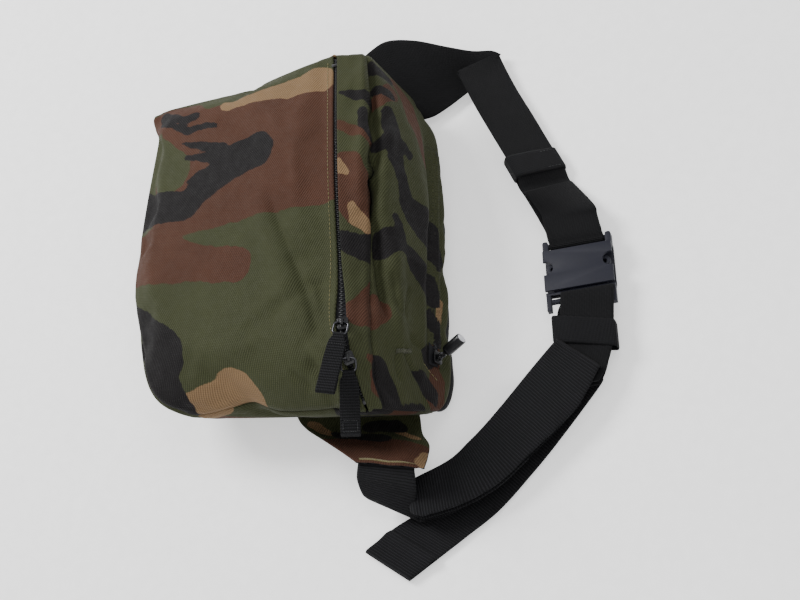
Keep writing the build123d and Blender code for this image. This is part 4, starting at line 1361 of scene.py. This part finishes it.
strap = band("far_strap", far_rows, THICK, LENGTHWISE, 380, lambda s, t: 0.3 * math.sin(24 * s + t))
install(strap, "pack", "webbing", "strap_far", "strap_far_return")

MALE_BAR_U, LOOP_LENGTH, LOOP_HALF = 22.3, 56.0, 18.5


def loop_row(u, height, lean=0.0):
    """Row of the loop at a distance from the bar; the loop leans towards the pack."""
    shift = 4.4 - 0.1 * u + lean
    return buckle_row(MALE_BAR_U + u, shift, height, LOOP_HALF)


# From the upper leaf's end to the bar, round it, and back along the lower leaf.
hairpin = [loop_row(*place) for place in (
    (LOOP_LENGTH + 9, 3.0, -9.0), (LOOP_LENGTH, 3.0, -4.5), (43, 3.0, -1.0), (30, 3.1), (10, 3.5),
    (0, 4.0), (-3.2, 4.0), (-4.2, 3.5), (-3.2, 2.6), (-2.9, 0), (-2.6, -2.4, -0.4),
    (0, -3.2, -1.2), (8, -3.2, -3.6), (30, -3.1, -3.2), (43, -3.0, -3.6),
    (LOOP_LENGTH, -3.0, -6.0), (LOOP_LENGTH + 9, -3.0, -10.0))]
loop = band("strap_loop_band", hairpin, 1.4, LENGTHWISE, 200)
install(loop, "buckle_male", "webbing", "strap_loop")


# ---- elastic keepers ------------------------------------------------------------------------
SQUARENESS, INNER, LAP, LAP_END = 0.32, 0.05, 0.75, 3.0


def keeper(name, centre, along, across, out, length, width, height, wall, skew=0.0):
    """Elastic band sewn into a flat ring, its two ends lapped on the upper side."""
    around, steps = 72, 14
    hoop = []
    for k in range(around):
        a = 2 * math.pi * k / around
        c, s = math.cos(a), math.sin(a)
        x = width / 2 * math.copysign(abs(c) ** SQUARENESS, c)
        y = height / 2 * math.copysign(abs(s) ** SQUARENESS, s)
        hoop.append((x, y, c, s))
    hoop_run = run_along(np.array([place[:2] for place in hoop]))
    points, u, v = [], [], []
    for outer in (True, False):
        for k in range(steps + 1):
            t = k / steps - 0.5
            shut = 0.35 if k in (0, steps) else 1.0
            size = INNER + (wall - INNER) * shut if outer else INNER
            for (x, y, c, s), run in zip(hoop, hoop_run):
                lap = LAP if outer and y > 0 and x < LAP_END else 0.0
                rise = y + size * math.copysign(min(1.0, abs(s) * 3), s) + lap
                points.append(centre + along * (t * length + skew * x * 0.1)
                              + across * (x + size * c) + out * rise)
                u.append(run)
                v.append(t * length)
    block = (steps + 1) * around
    faces = []
    for a, b, c, d in tube_faces(steps + 1, around):
        faces += [(a, b, c, d), (block + d, block + c, block + b, block + a)]
    for k in (0, steps):
        for m in range(around):
            a, b = k * around + m, k * around + (m + 1) % around
            faces.append((a, b, block + b, block + a) if k else (b, a, block + a, block + b))
    ring = Pieces()
    ring.add(points, faces, u, v)
    return ring.make(name, ELASTIC)


UP = np.array((0.0, 0.0, 1.0))
ring = keeper("near_keeper_band", buckle_spot(MALE_BAR_U + 27, 0.2, 0), buckle_u, buckle_v, UP,
              20.0, 41.6, 8.2, 0.9, 2.4)
install(ring, "keeper_near", "elastic", "keeper_near")
FAR_KEEPER_AT = 108.0
ring = keeper("far_keeper_band", FAR_START + far_run * FAR_KEEPER_AT - far_out * 2.85, far_run,
              far_across, far_out, 20.0, 39.0, 6.6, 0.8)
install(ring, "keeper_far", "elastic", "keeper_far")

# ---- buckle ---------------------------------------------------------------------------------
for node, body in (("buckle_female", "pack"), ("buckle_male", "buckle_male"),
                   ("buckle_arm_left", "arm_left"), ("buckle_arm_right", "arm_right")):
    refined(node, BUCKLE, "buckle", body, 0.5, 3)


# ---- stitching ------------------------------------------------------------------------------
def stitch_row(target, place, start, stop, pitch=3.2, gap=0.8, radius=0.24):
    """Row of single stitches; place gives the point at a distance, raised by a height."""
    at = start
    while at + pitch - gap < stop:
        line = [place(at + (pitch - gap) * q, 0.05 + 0.22 * math.sin(math.pi * q)) for q in ARC]
        target.tube(line, radius, 5)
        at += pitch


topstitch = Pieces()
stitch_row(topstitch, lambda x, h: walls[FRONT].at(x, -zip_gap((x + 124) / 250) - 4.6, h),
           -128, 138)
install(topstitch.make("main_zip_topstitch", OLIVE_THREAD), "pack", "thread")
corner = smooth_through(((101, 73), (102, 78), (106, 84), (109, 88)), 12)
corner_run = run_along(corner)


def corner_place(distance, height):
    u, v = (float(np.interp(distance, corner_run, corner[:, k])) for k in (0, 1))
    return rear_wall.at(u, v, height)


topstitch = Pieces()
stitch_row(topstitch, corner_place, 0.0, float(corner_run[-1]))
install(topstitch.make("pocket_corner_stitch", OLIVE_THREAD), "pack", "thread")
tack = Pieces()
for k in range(26):
    v = 48 + 13 * k / 25
    u = 100 - 4 * k / 25
    tack.tube([rear_wall.at(u - 1.5 + 3 * q + 0.2 * (-1) ** k, v,
                            0.1 + 0.45 * math.sin(math.pi * q)) for q in ARC], 0.3, 5)
install(tack.make("gusset_bar_tack", TACK_THREAD), "pack", "thread", "bar_tack")
seams = Pieces()
a, b = np.array(hem_rows[-1][0]), np.array(hem_rows[-1][1])
back = unit(np.array(hem_rows[0][0]) - a)
for offset in (1.0, 4.0):
    stitch_row(seams, lambda d, h: a + unit(b - a) * d + back * offset + UP * (0.72 + h),
               1.5, 37.0, 2.6, 0.7, 0.2)
for distance in (FAR_KEEPER_AT - 7.5, FAR_KEEPER_AT + 7.5):
    stitch_row(seams, lambda d, h: (FAR_START + far_run * distance + far_across * (17 - d)
                                    + far_out * (1.2 + h)), 1.0, 33.5, 2.6, 0.7, 0.16)
install(seams.make("strap_stitches", DARK_THREAD), "pack", "thread")

FLOOR_REACH, FLOOR_HEIGHT = 12000, -1.9
floor_corners = [(a * FLOOR_REACH, b * FLOOR_REACH, FLOOR_HEIGHT)
                 for a, b in ((-1, -1), (1, -1), (1, 1), (-1, 1))]
floor = new_object("floor", floor_corners, [(0, 1, 2, 3)], FLOOR)
